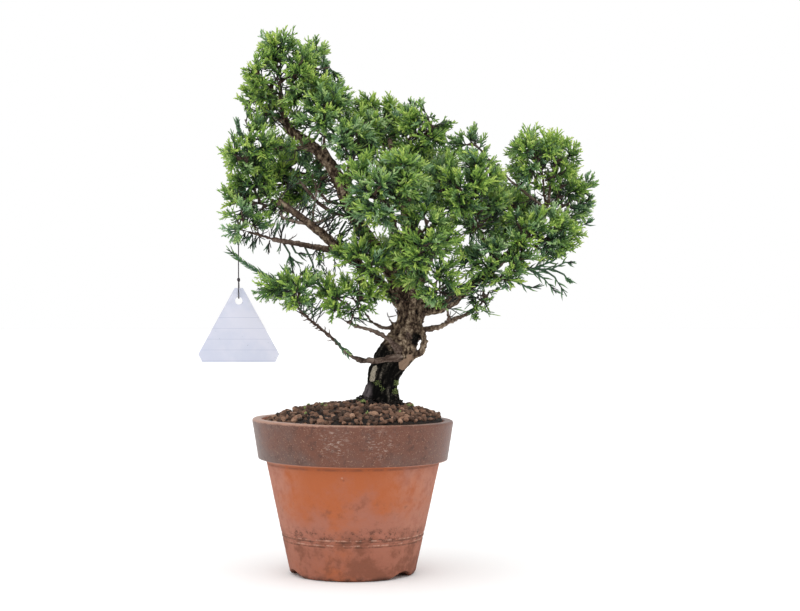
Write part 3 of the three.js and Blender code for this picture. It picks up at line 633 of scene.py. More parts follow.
@dataclass(frozen=True)
class Bark:
    """Stringy bark: nearly black on the low trunk, brown above it, with a scar, bare wood and moss."""

    dark: tuple = (
        (0.36, tone(3, 3, 3)),
        (0.62, tone(13, 12, 11)),
        (0.74, tone(60, 56, 50)),
        (0.9, tone(150, 142, 130)),
    )
    warm: tuple = (
        (0.3, tone(12, 9, 7)),
        (0.48, tone(58, 46, 38)),
        (0.66, tone(110, 94, 78)),
        (0.86, tone(172, 154, 131)),
    )
    limb: tuple = ((0.32, tone(30, 23, 20)), (0.56, tone(84, 69, 61)), (0.84, tone(158, 142, 130)))
    lilac: tuple = tone(98, 90, 92)
    scar: tuple = tone(150, 126, 106)
    dead: tuple = tone(184, 174, 156)
    # The knob's recess keeps the near-black bark as painted shade: its middle, inner and outer radius.
    hollow_shade: tuple = ((47.5 * MM, -2 * MM, 175.5 * MM), 3.4 * MM, 7 * MM)
    scars: tuple = (
        ((38.2 * MM, -5 * MM, 157 * MM), 2.5 * MM, 6.6 * MM),
        ((42.5 * MM, -4 * MM, 161.5 * MM), 0.5 * MM, 5 * MM),
    )
    bare: tuple = (
        ((14.0 * MM, -3.4 * MM, 146.5 * MM), 1.4 * MM, 4.2 * MM),
        ((14.6 * MM, -3.4 * MM, 150.0 * MM), 1.4 * MM, 4.2 * MM),
        ((15.6 * MM, -3.4 * MM, 153.5 * MM), 1.4 * MM, 4.2 * MM),
    )
    fine: Cloud = (1100, 5, 0.7)
    flakes: Cloud = (380, 3, 0.6)
    ragged: Cloud = (420, 4, 0.7)
    warm_from: Pair = (196 * MM, 204 * MM)
    warm_lean: float = 0.83
    warm_ragged: float = 16 * MM

    def build(self) -> bpy.types.Material:
        """Make the material."""
        shade = Shade("bark", 0.9)
        shade.shader.inputs["Specular IOR Level"].default_value = 0.06
        fine = shade.noise(*self.fine)
        height = shade.plus(shade.times(fine, 0.45), shade.times(shade.stored("grain"), 0.72))
        flakes = shade.noise(*self.flakes, shade.stretched((1.0, 1.0, 0.6)))
        torn = shade.minus(shade.plus(shade.times(height, 0.8), shade.times(flakes, 1.3)), 0.53)
        shade.colour = shade.ramp(height, self.dark)
        shade.lay(shade.ramp(torn, self.warm), self.upper(shade))
        shade.lay(shade.ramp(height, self.limb), shade.stored("twig"))
        left = shade.range(shade.x, 15.5 * MM, 12 * MM)
        low_left = shade.times(left, shade.range(shade.z, 145 * MM, 138 * MM))
        shade.lay(self.lilac, shade.times(low_left, shade.range(height, 0.3, 0.6)), 0.85)
        ragged = shade.times(shade.minus(shade.noise(*self.ragged), 0.5), 1.1)
        shade.lay(self.scar, shade.range(shade.plus(shade.spots(self.scars), ragged), 0.4, 0.55), 0.9)
        bare = shade.range(shade.plus(shade.spots(self.bare), shade.times(ragged, 0.8)), 0.35, 0.5)
        shade.lay(self.dead, shade.times(bare, shade.range(fine, 0.2, 0.62)))
        shade.relief(height, 0.9, 1.4 * MM)
        return shade.finished()

    def upper(self, shade: Shade) -> Socket:
        """Where the warm bark is: above a leaning ragged edge, but not in the knob's recess, where the
        near-black bark stays as painted shade.

        Args:
            shade: The node tree.

        Returns:
            The socket of the warm part, 1 inside and 0 outside.
        """
        lean = shade.plus(shade.z, shade.times(shade.x, self.warm_lean))
        ragged = shade.plus(lean, shade.times(shade.noise(160, 4), self.warm_ragged))
        return shade.times(shade.range(ragged, *self.warm_from), shade.minus(1.0, shade.spot(*self.hollow_shade)))


@dataclass(frozen=True)
class ScaleLeaf:
    """Scale leaves pressed to cord-like shoots, from brown twig through blue-green to bright tips."""

    warm: tuple = (
        (0.0, tone(70, 50, 37)),
        (0.1, tone(26, 24, 16)),
        (0.22, tone(8, 20, 9)),
        (0.44, tone(66, 106, 38)),
        (0.7, tone(134, 172, 66)),
        (1.0, tone(184, 208, 96)),
    )
    cool: tuple = (
        (0.0, tone(62, 48, 38)),
        (0.1, tone(22, 22, 16)),
        (0.22, tone(8, 20, 14)),
        (0.44, tone(60, 100, 66)),
        (0.7, tone(122, 160, 114)),
        (1.0, tone(176, 202, 158)),
    )

    def build(self) -> bpy.types.Material:
        """Make the material."""
        shade = Shade("scale_leaf", 0.5)
        scales = shade.cells(1300)
        # Painted light and shade: the stored light value makes sprays near black in the crown's inner shade
        # and bright at the tips, partly their fresh colour and partly painted highlight; the pale end of
        # the cool ramp is painted highlight on the cords.
        value = shade.plus(shade.stored("light"), shade.times(scales, -0.16))
        shade.colour = shade.ramp(value, self.warm)
        shade.lay(shade.ramp(value, self.cool), shade.range(shade.stored("tint"), 0.25, 0.85))
        shade.relief(scales, 0.6, 0.4 * MM)
        shade.shader.inputs["Subsurface Weight"].default_value = 0.08
        shade.shader.inputs["Subsurface Radius"].default_value = (0.001, 0.002, 0.0005)
        return shade.finished()


@dataclass(frozen=True)
class MossLeaf:
    """Short dense moss."""

    deep: tuple = tone(62, 76, 40)
    bright: tuple = tone(168, 186, 108)

    def build(self) -> bpy.types.Material:
        """Make the material."""
        shade = Shade("moss_leaf", 0.8)
        # The stored light value paints each strand darker at its foot, as painted shade in the tuft, and
        # lighter at its tip.
        value = shade.plus(shade.stored("light"), shade.times(shade.noise(700, 3), 0.4))
        shade.colour = self.deep
        shade.lay(self.bright, shade.range(value, 0.3, 1.1))
        return shade.finished()


@dataclass(frozen=True)
class TagPlastic:
    """Pale milky plastic with faint ruled lines for writing on."""

    milk: tuple = tone(214, 215, 228)
    cool: tuple = tone(202, 206, 222)
    ruled: tuple = tone(150, 158, 186)
    pitch: float = 8 * MM
    line: float = 0.18 * MM
    ruled_from: Pair = (193 * MM, 192 * MM)

    def build(self) -> bpy.types.Material:
        """Make the material."""
        shade = Shade("tag_plastic", 0.35)
        shade.colour = self.milk
        shade.lay(self.cool, shade.range(shade.noise(40, 4), 0.4, 0.62))
        gap = shade.sum("PINGPONG", shade.z, self.pitch / 2)
        rule = shade.times(shade.range(gap, self.line, self.line / 2), 0.55)
        shade.lay(self.ruled, shade.times(rule, shade.range(shade.z, *self.ruled_from)))
        shade.relief(shade.noise(2200, 2), 0.08, 0.1 * MM)
        shade.shader.inputs["Transmission Weight"].default_value = 0.25
        return shade.finished(shade.range(shade.noise(300, 4), -0.6, 2.0))


@dataclass(frozen=True)
class SpunThread:
    """Dark spun thread with a fine twist."""

    dark: tuple = tone(34, 30, 34)
    light: tuple = tone(92, 84, 90)

    def build(self) -> bpy.types.Material:
        """Make the material."""
        shade = Shade("spun_thread", 0.75)
        fibres = shade.noise(1800, 3, 0.6, shade.stretched((1.0, 1.0, 0.4)))
        shade.colour = self.dark
        shade.lay(self.light, shade.range(fibres, 0.45, 0.7))
        shade.relief(fibres, 0.7, 0.2 * MM)
        return shade.finished()


@dataclass(frozen=True)
class MeshPlastic:
    """Black drain mesh plastic, a little dusty."""

    black: tuple = tone(34, 36, 38)
    dust: tuple = tone(92, 80, 70)

    def build(self) -> bpy.types.Material:
        """Make the material."""
        shade = Shade("mesh_plastic", 0.6)
        dust = shade.noise(400, 4, 0.7)
        shade.colour = self.black
        shade.lay(self.dust, shade.range(dust, 0.5, 0.7))
        shade.relief(dust, 0.3, 0.3 * MM)
        return shade.finished()


@dataclass(frozen=True)
class StudioWhite:
    """The pale studio floor."""

    white: tuple = tone(240, 240, 240)
    shade_white: tuple = tone(236, 236, 236)

    def build(self) -> bpy.types.Material:
        """Make the material."""
        shade = Shade("studio_white", 0.9)
        shade.colour = self.white
        shade.lay(self.shade_white, shade.noise(4))
        return shade.finished()


class Finish(Enum):
    """The object's finishes; each builds its material once, when it is first asked for."""

    CLAY = BareClay()
    SLIP = DarkSlip()
    GRANULES = BakedGranules()
    SOIL_BED = SoilBed()
    BARK = Bark()
    LEAF = ScaleLeaf()
    MOSS = MossLeaf()
    TAG = TagPlastic()
    THREAD = SpunThread()
    MESH = MeshPlastic()
    FLOOR = StudioWhite()

    def material(self) -> bpy.types.Material:
        """The finish's material."""
        if self not in MADE:
            MADE[self] = self.value.build()
        return MADE[self]


MADE: dict[Finish, bpy.types.Material] = {}


@dataclass
class Draft:
    """A mesh under construction, with numbers kept at its points."""

    points: list[Triple] = field(default_factory=list)
    faces: list[tuple[int, ...]] = field(default_factory=list)
    stored: dict[str, list[float]] = field(default_factory=dict)

    def add(self, points: list[Vector], faces: list[tuple[int, ...]], **values: list[float]) -> None:
        """Add a small form.

        Args:
            points: Its points.
            faces: Its faces, counted from its own first point.
            **values: For each stored number, its value at each point.
        """
        first = len(self.points)
        self.points.extend(point[:] for point in points)
        self.faces.extend(tuple(first + corner for corner in face) for face in faces)
        for name, numbers in values.items():
            self.stored.setdefault(name, []).extend(numbers)

    def tube(
        self, route: list[Vector], radii: list[float], sides: int, light: list[float], tint: float
    ) -> None:
        """Add a fine tapering tube with a blunt tip.

        Args:
            route: The points that it follows; the last one is its tip.
            radii: The radius at each of them but the tip.
            sides: How many sides it has.
            light: The light value at each point of the route.
            tint: The tint of the whole tube.
        """
        way = (route[-1] - route[0]).normalized()
        one = way.orthogonal().normalized()
        two = way.cross(one)
        arms = [one * math.cos(a) + two * math.sin(a) for a in (i * math.tau / sides for i in range(sides))]
        points = [centre + arm * radius for centre, radius in zip(route, radii) for arm in arms]
        faces = ring_faces(0, len(radii), sides)
        base = (len(radii) - 1) * sides
        faces.extend((base + k, base + (k + 1) % sides, len(points)) for k in range(sides))
        points.append(route[-1])
        values = [value for value in light[:-1] for _ in arms] + [light[-1]]
        self.add(points, faces, light=values, tint=[tint] * len(points))

    def piece(self, name: str, *finishes: Finish, flat: bool = False) -> Piece:
        """Make the object.

        Args:
            name: The object's name.
            *finishes: Its finishes.
            flat: Whether its faces stay flat.

        Returns:
            The object, linked to the scene.
        """
        mesh = bpy.data.meshes.new(name)
        mesh.from_pydata(self.points, [], self.faces)
        for label, numbers in self.stored.items():
            layer = mesh.attributes.new(label, "FLOAT", "POINT")
            layer.data.foreach_set("value", numbers)
        return as_piece(name, mesh, *finishes, flat=flat)


def placed(name: str, data: bpy.types.ID) -> Piece:
    """Make an object and put it in the scene.

    Args:
        name: The object's name.
        data: Its mesh, curve, light or camera.

    Returns:
        The object.
    """
    thing = bpy.data.objects.new(name, data)
    bpy.context.scene.collection.objects.link(thing)
    return thing


def applied(thing: Piece) -> bpy.types.Mesh:
    """A new mesh of an object, as its modifiers leave it."""
    graph = bpy.context.evaluated_depsgraph_get()
    return bpy.data.meshes.new_from_object(thing.evaluated_get(graph))


def dress(node: str, finish: Finish) -> None:
    """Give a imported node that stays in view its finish."""
    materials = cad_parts[node].data.materials
    materials.clear()
    materials.append(finish.material())


def as_piece(name: str, mesh: bpy.types.Mesh, *finishes: Finish, flat: bool = False) -> Piece:
    """Make an object of a mesh, dress it, and let it ride on the object's one body.

    Args:
        name: The object's name.
        mesh: Its mesh.
        *finishes: Its finishes.
        flat: Whether its faces stay flat.

    Returns:
        The object, linked to the scene.
    """
    mesh.polygons.foreach_set("use_smooth", [not flat] * len(mesh.polygons))
    for finish in finishes:
        mesh.materials.append(finish.material())
    piece = placed(name, mesh)
    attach(piece, "root")
    return piece


def merged(node: str) -> bmesh.types.BMesh:
    """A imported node's mesh with its points joined.

    Args:
        node: The node's name.

    Returns:
        The mesh, to be freed by the caller.
    """
    work = bmesh.new()
    work.from_mesh(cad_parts[node].data)
    bmesh.ops.remove_doubles(work, verts=work.verts, dist=JOINED)
    return work


@dataclass
class Studio:
    """The camera, the light and the floor."""

    camera_at: Triple = (35.4 * MM, -1240 * MM, 200.9 * MM)
    seen_width: float = 603.2 * MM
    distance: float = 1240 * MM
    sensor: float = 36.0
    farthest: float = 50.0
    sun_strength: float = 1.7
    sun_spread: float = math.radians(105)
    sun_from: Triple = (-0.08, -0.75, 1.5)
    floor_corners: tuple = ((-8, -4, 0), (8, -4, 0), (8, 12, 0), (-8, 12, 0))
    floor_level: float = -0.2 * MM

    def place_camera(self) -> None:
        """Put the camera where the photograph was taken from."""
        data = bpy.data.cameras.new("camera")
        data.sensor_width = self.sensor
        data.lens = self.sensor * self.distance / self.seen_width
        data.clip_end = self.farthest
        camera = placed("camera", data)
        camera.location = self.camera_at
        camera.rotation_euler = (math.pi / 2, 0, 0)
        bpy.context.scene.camera = camera

    def light(self) -> None:
        """Set a white sky and a broad soft key from the upper left front."""
        world = bpy.data.worlds.new("studio")
        world.use_nodes = True
        world.node_tree.nodes["Background"].inputs["Color"].default_value = (1, 1, 1, 1)
        world.node_tree.nodes["Background"].inputs["Strength"].default_value = 1.0
        bpy.context.scene.world = world
        bpy.context.scene.view_settings.view_transform = "Standard"
        data = bpy.data.lights.new("key", "SUN")
        data.energy = self.sun_strength
        data.angle = self.sun_spread
        key = placed("key", data)
        key.rotation_euler = Vector(self.sun_from).to_track_quat("Z", "Y").to_euler()

    def lay_floor(self) -> None:
        """Lay the pale floor under the object."""
        mesh = bpy.data.meshes.new("floor")
        mesh.from_pydata(self.floor_corners, [], [(0, 1, 2, 3)])
        mesh.materials.append(Finish.FLOOR.material())
        floor = placed("floor", mesh)
        floor.location.z = self.floor_level


@dataclass
class HangTag:
    """The blank tag on its thread, over the low left twig."""

    diameter: float = 0.8 * MM
    roundness: int = 3
    fineness: int = 8
    route: tuple = (
        (-84, -22.8, 250.5), (-84, -20.6, 253.5), (-84, -19.9, 257), (-84, -20.52, 259.1),
        (-84, -22, 259.7), (-84, -23.48, 259.1), (-84, -24.1, 257.2), (-84, -24.1, 250),
        (-84, -24, 236), (-84, -23.9, 222), (-84, -23.8, 214), (-84, -23.8, 208.5),
        (-84, -23.27, 206.73), (-84, -22, 206.2), (-84, -20.73, 206.73), (-84, -20.2, 208.5),
        (-84, -20.2, 213.5), (-84, -20.9, 216.5), (-84, -22.6, 219.5),
    )
    knots_at: tuple = (("knot_at_twig", (-84, -23.6, 249.4)), ("knot_at_tag", (-84, -23.3, 220)))
    knot_turns: int = 3
    knot_steps: int = 42
    knot_radius: float = 0.62
    knot_swell: float = 0.25
    knot_depth: float = 1.3
    knot_height: float = 2.2
    strand: float = 0.4 * MM

    def length(self, points: list[Vector]) -> float:
        """The length of a line through points."""
        return sum((b - a).length for a, b in zip(points, points[1:]))

    def hang(self) -> Piece:
        """Returns:
            The thread.
        """
        points = [Vector(point) * MM for point in self.route]
        data = bpy.data.curves.new("hang_thread_cord", "CURVE")
        data.dimensions = "3D"
        data.bevel_depth = self.diameter / 2
        data.bevel_resolution = self.roundness
        data.use_fill_caps = True
        spline = data.splines.new("BEZIER")
        spline.resolution_u = self.fineness
        spline.bezier_points.add(len(points) - 1)
        for knot, point in zip(spline.bezier_points, points):
            knot.co = point
            knot.handle_left_type = knot.handle_right_type = "AUTO"
        data.materials.append(Finish.THREAD.material())
        thread = placed("hang_thread_cord", data)
        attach(thread, "root")
        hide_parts("hang_thread")
        knots = self.tie_knots()
        tuple(points[0])
        self.length(points)
        dress("hang_tag", Finish.TAG)
        return thread

    def tie_knots(self) -> list[Piece]:
        """Tie the small knots that close the loop at the twig and the loop at the tag.

        Returns:
            The knots.
        """
        knots = []
        for name, middle in self.knots_at:
            draft = Draft()
            route = []
            for i in range(self.knot_steps + 1):
                turn = math.tau * self.knot_turns * i / self.knot_steps
                wide = self.knot_radius + self.knot_swell * math.sin(math.pi * i / self.knot_steps)
                rise = self.knot_height * (i / self.knot_steps - 0.5)
                point = Vector((wide * math.cos(turn), self.knot_depth * wide * math.sin(turn), rise))
                route.append((point + Vector(middle)) * MM)
            for a, b, c in zip(route, route[1:], route[2:]):
                draft.tube([a, b, c], [self.strand] * 2, 6, [0.0] * 3, 0.5)
            knot = draft.piece(name, Finish.THREAD)
            knots.append(knot)
        return knots


@dataclass
class Pot:
    """The thrown pot: rim band with dark slip, tapering bare body, incised lines and a notched foot.

    Its sizes are in millimetres. A ripple has its depth, and its pitch around the pot and along it.
    """

    height: float = 115.5
    rim: float = 75.5
    lip: float = 1.2
    band_foot: float = 85.5
    band_radius: float = 71.4
    shoulder: float = 66.0
    foot: float = 47.0
    mouth: float = 68.5
    floor: float = 9.0
    floor_radius: float = 40.5
    segments: int = 144
    drain_angles: tuple[int, ...] = (83, 203, 323)
    drain_radius: float = 5.0
    drain_circle: float = 29.0
    notch_arc: float = 18.0
    notch_height: float = 5.2
    notch_start: float = 18.0
    lines: Pair = (30.7, 27.0)
    line_depth: float = 0.5
    line_width: float = 0.6
    ripples: tuple = ((0.35, 1.6, 0.02), (0.1, 0.8, 0.35), (0.07, 30.0, 0.4))
    knock_depth: float = 1.5
    knock_reach: float = 3.2
    knock_turns: float = 17
    knocked: Pair = (0.42, 0.62)
    rim_wave: float = 0.25
    rim_turns: float = 2.4
    tilt: float = 0.0145

    def profile(self) -> list[Pair]:
        """The outline, from the middle of the underside up the outside and down to the floor's middle.

        Returns:
            Radius and height of each ring, in millimetres.
        """
        corners = [
            (0.5, 0.0, 1.6), (self.foot - 2.4, 0.0, 0.6),
            (self.foot - 0.8, 0.5, 0.5), (self.foot + 0.44, 2.0, 0.6),
            (self.shoulder - 0.5, self.band_foot - 0.6, 0.62), (self.shoulder + 0.4, self.band_foot, 1.2),
            (self.band_radius - self.lip, self.band_foot, 0.4),
            (self.band_radius - 0.3, self.band_foot + 0.4, 0.4),
            (self.band_radius, self.band_foot + 1.4, 0.8), (self.rim, self.height - 1.6, 0.4),
            (self.rim - 0.35, self.height - 0.45, 0.4), (self.rim - 1.3, self.height, 1.0),
            (self.mouth + 0.9, self.height, 0.5), (self.mouth, self.height - 0.9, 3.0),
            (self.floor_radius + 1, self.floor + 1.0, 1.0), (self.floor_radius - 1, self.floor, 4.0),
            (0.5, self.floor, 1.0),
        ]
        rings = []
        for (r0, z0, step), (r1, z1, _) in zip(corners, corners[1:]):
            count = max(1, round(math.hypot(r1 - r0, z1 - z0) / step))
            rings.extend((r0 + (r1 - r0) * i / count, z0 + (z1 - z0) * i / count) for i in range(count))
        return rings + [corners[-1][:2]]

    def notch_roof(self, x: float, y: float) -> float:
        """How high the arched notches of the foot rise over a place.

        Args:
            x: Millimetres to the right.
            y: Millimetres to the back.

        Returns:
            The height in millimetres, 0 outside a notch.
        """
        best = 0.0
        for angle in self.drain_angles:
            turn = math.radians(angle)
            along = x * math.cos(turn) + y * math.sin(turn)
            across = y * math.cos(turn) - x * math.sin(turn)
            if along > self.notch_start and abs(across) < self.notch_arc:
                roof = self.notch_height - self.notch_arc + math.sqrt(self.notch_arc**2 - across**2)
                best = max(best, roof)
        return best

    def worked(self, radius: float, z: float, turn: float, outside: bool) -> Pair:
        """A place on the skin after throwing, incising, knocks and wear.

        Args:
            radius: The radius of the plain profile there.
            z: The height there.
            turn: The angle around the pot.
            outside: Whether the place is on the outside.

        Returns:
            The radius and the height, in millimetres.
        """
        across, back = around(1.0, turn)
        if outside and z > 1:
            for depth, turns, rise in self.ripples:
                radius += depth * noise.noise(Vector((across * turns, back * turns, z * rise)))
            for line in self.lines:
                radius -= self.line_depth * math.exp(-(((z - line) / self.line_width) ** 2))
            knock = noise.noise(Vector((across * self.knock_turns, back * self.knock_turns, 5.0)))
            edge = smooth_step(self.knock_reach, 0.0, abs(z - self.height + 0.6))
            radius -= self.knock_depth * edge * smooth_step(*self.knocked, knock)
        if z > self.height - 2:
            z += self.rim_wave * noise.noise(Vector((across * self.rim_turns, back * self.rim_turns, 9.0)))
        return radius, z

    def build(self) -> Piece:
        """Turn the pot, cut its drain holes and dress it.

        Returns:
            The pot.
        """
        draft = Draft()
        rings = self.profile()
        count = self.segments
        top = max(range(len(rings)), key=lambda i: rings[i][1])
        points = []
        for index, (radius, z) in enumerate(rings):
            for k in range(count):
                turn = math.tau * k / count
                r, h = self.worked(radius, z, turn, index <= top)
                x, y = around(r, turn)
                if index < top and z < 7:
                    h = max(h, self.notch_roof(x, y))
                h -= self.tilt * x * smooth_step(0, self.height, h) if index > 0 else 0
                points.append(Vector((x, y, h)) * MM)
        faces = ring_faces(0, len(rings), count)
        faces.append(tuple(range(count - 1, -1, -1)))
        faces.append(tuple(range(len(points) - count, len(points))))
        draft.add(points, faces)
        pot = draft.piece("pot_fired", Finish.CLAY, Finish.SLIP)
        for polygon in pot.data.polygons:
            middle = polygon.center
            outward = math.hypot(middle.x, middle.y) > (self.mouth + 0.4) * MM
            polygon.material_index = 1 if middle.z > (self.band_foot - 0.2) * MM and outward else 0
        self.cut_drains(pot)
        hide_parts("pot")
        return pot

    def cut_drains(self, pot: Piece) -> None:
        """Cut the drain holes through the floor.

        Args:
            pot: The pot.
        """
        cutter = bmesh.new()
        radius = self.drain_radius * MM
        for angle in self.drain_angles:
            place = Vector((*around(self.drain_circle, math.radians(angle)), self.floor / 2))
            bmesh.ops.create_cone(
                cutter, cap_ends=True, segments=32, radius1=radius, radius2=radius,
                depth=3 * self.floor * MM, matrix=Matrix.Translation(place * MM),
            )
        mesh = bpy.data.meshes.new("drain_cutter")
        cutter.to_mesh(mesh)
        cutter.free()
        tool = placed("drain_cutter", mesh)
        cut = pot.modifiers.new("drains", "BOOLEAN")
        cut.operation = "DIFFERENCE"
        cut.solver = "EXACT"
        cut.object = tool
        pot.data = applied(pot)
        pot.modifiers.clear()
        bpy.data.objects.remove(tool)


@dataclass
class Soil:
    """The mound of baked granules on its bed, with moss near the trunk, all in millimetres."""

    edge: float = 113.5
    mound: float = 14.2
    fullness: float = 0.7
    lean: float = 0.028
    radius: float = 67.4
    foot_radius: float = 39.9
    foot_level: float = 9.6
    rings: int = 44
    segments: int = 120
    bed_below: float = 1.0
    crumb: float = 0.9
    swell: float = 1.2
    swell_scale: float = 0.05
    crumb_scale: float = 0.55
    pitch: float = 5.3
    loose: float = 1.3
    sizes: Triple = (1.7, 4.2, 2.9)
    sunk: float = 0.2
    wall_granules: int = 64
    wall_sizes: Triple = (1.6, 3.2, 2.4)
    flats: int = 9
    flat_reach: Pair = (0.34, 0.74)
    flatness: float = 0.9
    brown: Pair = (0.5, 0.27)
    brown_slope: float = 0.0015
    trunk: Pair = (19.5, 4.0)
    trunk_room: float = 9.0
    heaped: int = 260
    heap: float = 4.4
    heap_radii: Triple = (10.5, 21, 13)
    crumb_sizes: Pair = (0.8, 1.9)
    moss_at: tuple = ((8, -9, 2.2), (4, 1, 1.8), (42, -8, 1.4))
    stray_moss: int = 9
    moss_density: int = 16
    moss_radii: Pair = (0.26 * MM, 0.3 * MM)
    seed: int = 12

    def height(self, x: float, y: float) -> float:
        """The height of the mound.

        Args:
            x: Millimetres to the right.
            y: Millimetres to the back.

        Returns:
            Its height in millimetres.
        """
        share = min(1.0, math.hypot(x, y) / self.radius)
        swell = self.swell * noise.noise(Vector((x, y, 3.0)) * self.swell_scale)
        return self.edge + self.mound * (1 - share * share) ** self.fullness + swell + self.lean * x

    def lay_bed(self) -> Piece:
        """Lay the crumbs under the granules.

        Returns:
            The bed.
        """
        draft = Draft()
        count = self.segments
        turns = [math.tau * k / count for k in range(count)]
        points = [Vector((0, 0, self.height(0, 0) - self.bed_below)) * MM]
        for ring in range(1, self.rings + 1):
            for turn in turns:
                x, y = around(self.radius * ring / self.rings, turn)
                crumb = self.crumb * noise.noise(Vector((x, y, 0.0)) * self.crumb_scale)
                points.append(Vector((x, y, self.height(x, y) - self.bed_below + crumb)) * MM)
        points.extend(Vector((*around(self.foot_radius, turn), self.foot_level)) * MM for turn in turns)
        faces = [(0, 1 + k, 1 + (k + 1) % count) for k in range(count)]
        faces.extend(ring_faces(1, self.rings + 1, count, inward=True))
        faces.append(tuple(range(len(points) - 1, len(points) - count - 1, -1)))
        draft.add(points, faces)
        bed = draft.piece("soil_bed", Finish.SOIL_BED)
        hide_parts("soil")
        return bed

    def scatter(self) -> Piece:
        """Scatter the granules over the bed.

        Returns:
            The granules.
        """
        rng = random.Random(self.seed)
        ball, faces = self.ball(2)
        draft = Draft()
        row_pitch = self.pitch * math.sqrt(0.75)
        rows = math.ceil(self.radius / row_pitch)
        for row, column in itertools.product(range(-rows, rows + 1), repeat=2):
            x = (column + (row % 2) / 2) * self.pitch + rng.uniform(-self.loose, self.loose)
            y = row * row_pitch + rng.uniform(-self.loose, self.loose)
            size = rng.triangular(*self.sizes)
            if math.hypot(x, y) > self.radius - 0.85 * size:
                continue
            if math.hypot(x - self.trunk[0], y - self.trunk[1]) < self.trunk_room:
                continue
            middle = Vector((x, y, self.height(x, y) - self.sunk * size + rng.uniform(-0.7, 1.0)))
            self.granule(draft, ball, faces, middle, size, rng)
        for step in range(self.wall_granules):
            turn = math.tau * (step + rng.uniform(-0.3, 0.3)) / self.wall_granules
            size = rng.triangular(*self.wall_sizes)
            x, y = around(self.radius - size, turn)
            middle = Vector((x, y, self.height(x, y) + rng.uniform(-0.6, 1.2)))
            self.granule(draft, ball, faces, middle, size, rng)
        piece = draft.piece("soil_granules", Finish.GRANULES, flat=True)
        return piece

    def granule(
        self, draft: Draft, ball: list[Vector], faces: list[tuple[int, ...]],
        middle: Vector, size: float, rng: random.Random,
    ) -> None:
        """Add one granule: a lump with a few worn flats.

        Args:
            draft: The mesh that it goes to.
            ball: The points of a ball of radius 1.
            faces: The faces of that ball.
            middle: Its middle, in millimetres.
            size: Its radius, in millimetres.
            rng: The stream of random numbers.
        """
        cuts = [(thrown(rng, 1).normalized(), rng.uniform(*self.flat_reach)) for _ in range(self.flats)]
        scale = Vector((rng.uniform(0.8, 1.15), rng.uniform(0.8, 1.15), rng.uniform(0.7, 0.95)))
        points = []
        for corner in ball:
            point = corner.copy()
            for way, reach in cuts:
                over = point.dot(way) - reach
                if over > 0:
                    point -= way * (over * self.flatness)
            points.append((middle + point * scale * size) * MM)
        brown = clamped(rng.gauss(*self.brown) + self.brown_slope * (middle.x - 10))
        draft.add(points, faces, tint=[brown] * len(points))

    def heap_crumbs(self) -> Piece:
        """Heap crumbs around the foot of the trunk, in the nearly black finish of the bed, which is partly
        painted shade.

        Returns:
            The crumbs.
        """
        rng = random.Random(self.seed + 2)
        ball, faces = self.ball(1)
        draft = Draft()
        for _ in range(self.heaped):
            turn, far = rng.uniform(0, math.tau), rng.triangular(*self.heap_radii)
            x, y = self.trunk[0] + 1.12 * far * math.cos(turn), self.trunk[1] + far * math.sin(turn)
            rise = self.heap * smooth_step(20, 11, far) * rng.random() + 0.8
            size = rng.uniform(*self.crumb_sizes)
            self.granule(draft, ball, faces, Vector((x, y, self.height(x, y) + rise)), size, rng)
        piece = draft.piece("crumbs_at_trunk", Finish.SOIL_BED)
        return piece

    def ball(self, finer: int) -> tuple[list[Vector], list[tuple[int, ...]]]:
        """A ball of radius 1.

        Args:
            finer: How often its faces are split.

        Returns:
            Its points and faces.
        """
        model = bmesh.new()
        bmesh.ops.create_icosphere(model, subdivisions=finer, radius=1.0)
        points = [vertex.co.copy() for vertex in model.verts]
        faces = [tuple(vertex.index for vertex in face.verts) for face in model.faces]
        model.free()
        return points, faces

    def grow_moss(self) -> Piece:
        """Grow small tufts of moss on the soil near the trunk.

        Returns:
            The moss.
        """
        rng = random.Random(self.seed + 1)
        draft = Draft()
        stray = [
            (rng.uniform(-48, 50), rng.uniform(-50, 10), rng.uniform(0.6, 1.1))
            for _ in range(self.stray_moss)
        ]
        for x0, y0, reach in (*self.moss_at, *stray):
            for _ in range(int(self.moss_density * reach)):
                turn, far = rng.uniform(0, math.tau), reach * math.sqrt(rng.random())
                x, y = x0 + far * math.cos(turn), y0 + far * math.sin(turn)
                foot = Vector((x, y, self.height(x, y) + 0.6 + 1.2 * (1 - far / reach)))
                lean = Vector((rng.gauss(0, 0.4), rng.gauss(0, 0.4), 1.0)).normalized()
                tip = foot + lean * rng.uniform(1.0, 2.1)
                route = [foot * MM, foot.lerp(tip, 0.5) * MM, tip * MM]
                draft.tube(route, self.moss_radii, 3, [0.1, 0.5, 0.9], rng.random())
        piece = draft.piece("moss_on_soil", Finish.MOSS)
        return piece

def averager(mesh: bpy.types.Mesh) -> Callable[[np.ndarray], np.ndarray]:
    """A way to average numbers over the neighbours of each point of a mesh.

    Args:
        mesh: The mesh.

    Returns:
        The function, from the numbers at the points to their means.
    """
    edges = np.zeros(len(mesh.edges) * 2, int)
    mesh.edges.foreach_get("vertices", edges)
    edges = edges.reshape(-1, 2)
    degree = np.bincount(edges.ravel(), minlength=len(mesh.vertices))[:, None]

    def averaged(values: np.ndarray) -> np.ndarray:
        """The mean of the values at each point's neighbours."""
        total = np.zeros_like(values)
        np.add.at(total, edges[:, 0], values[edges[:, 1]])
        np.add.at(total, edges[:, 1], values[edges[:, 0]])
        return total / degree

    return averaged


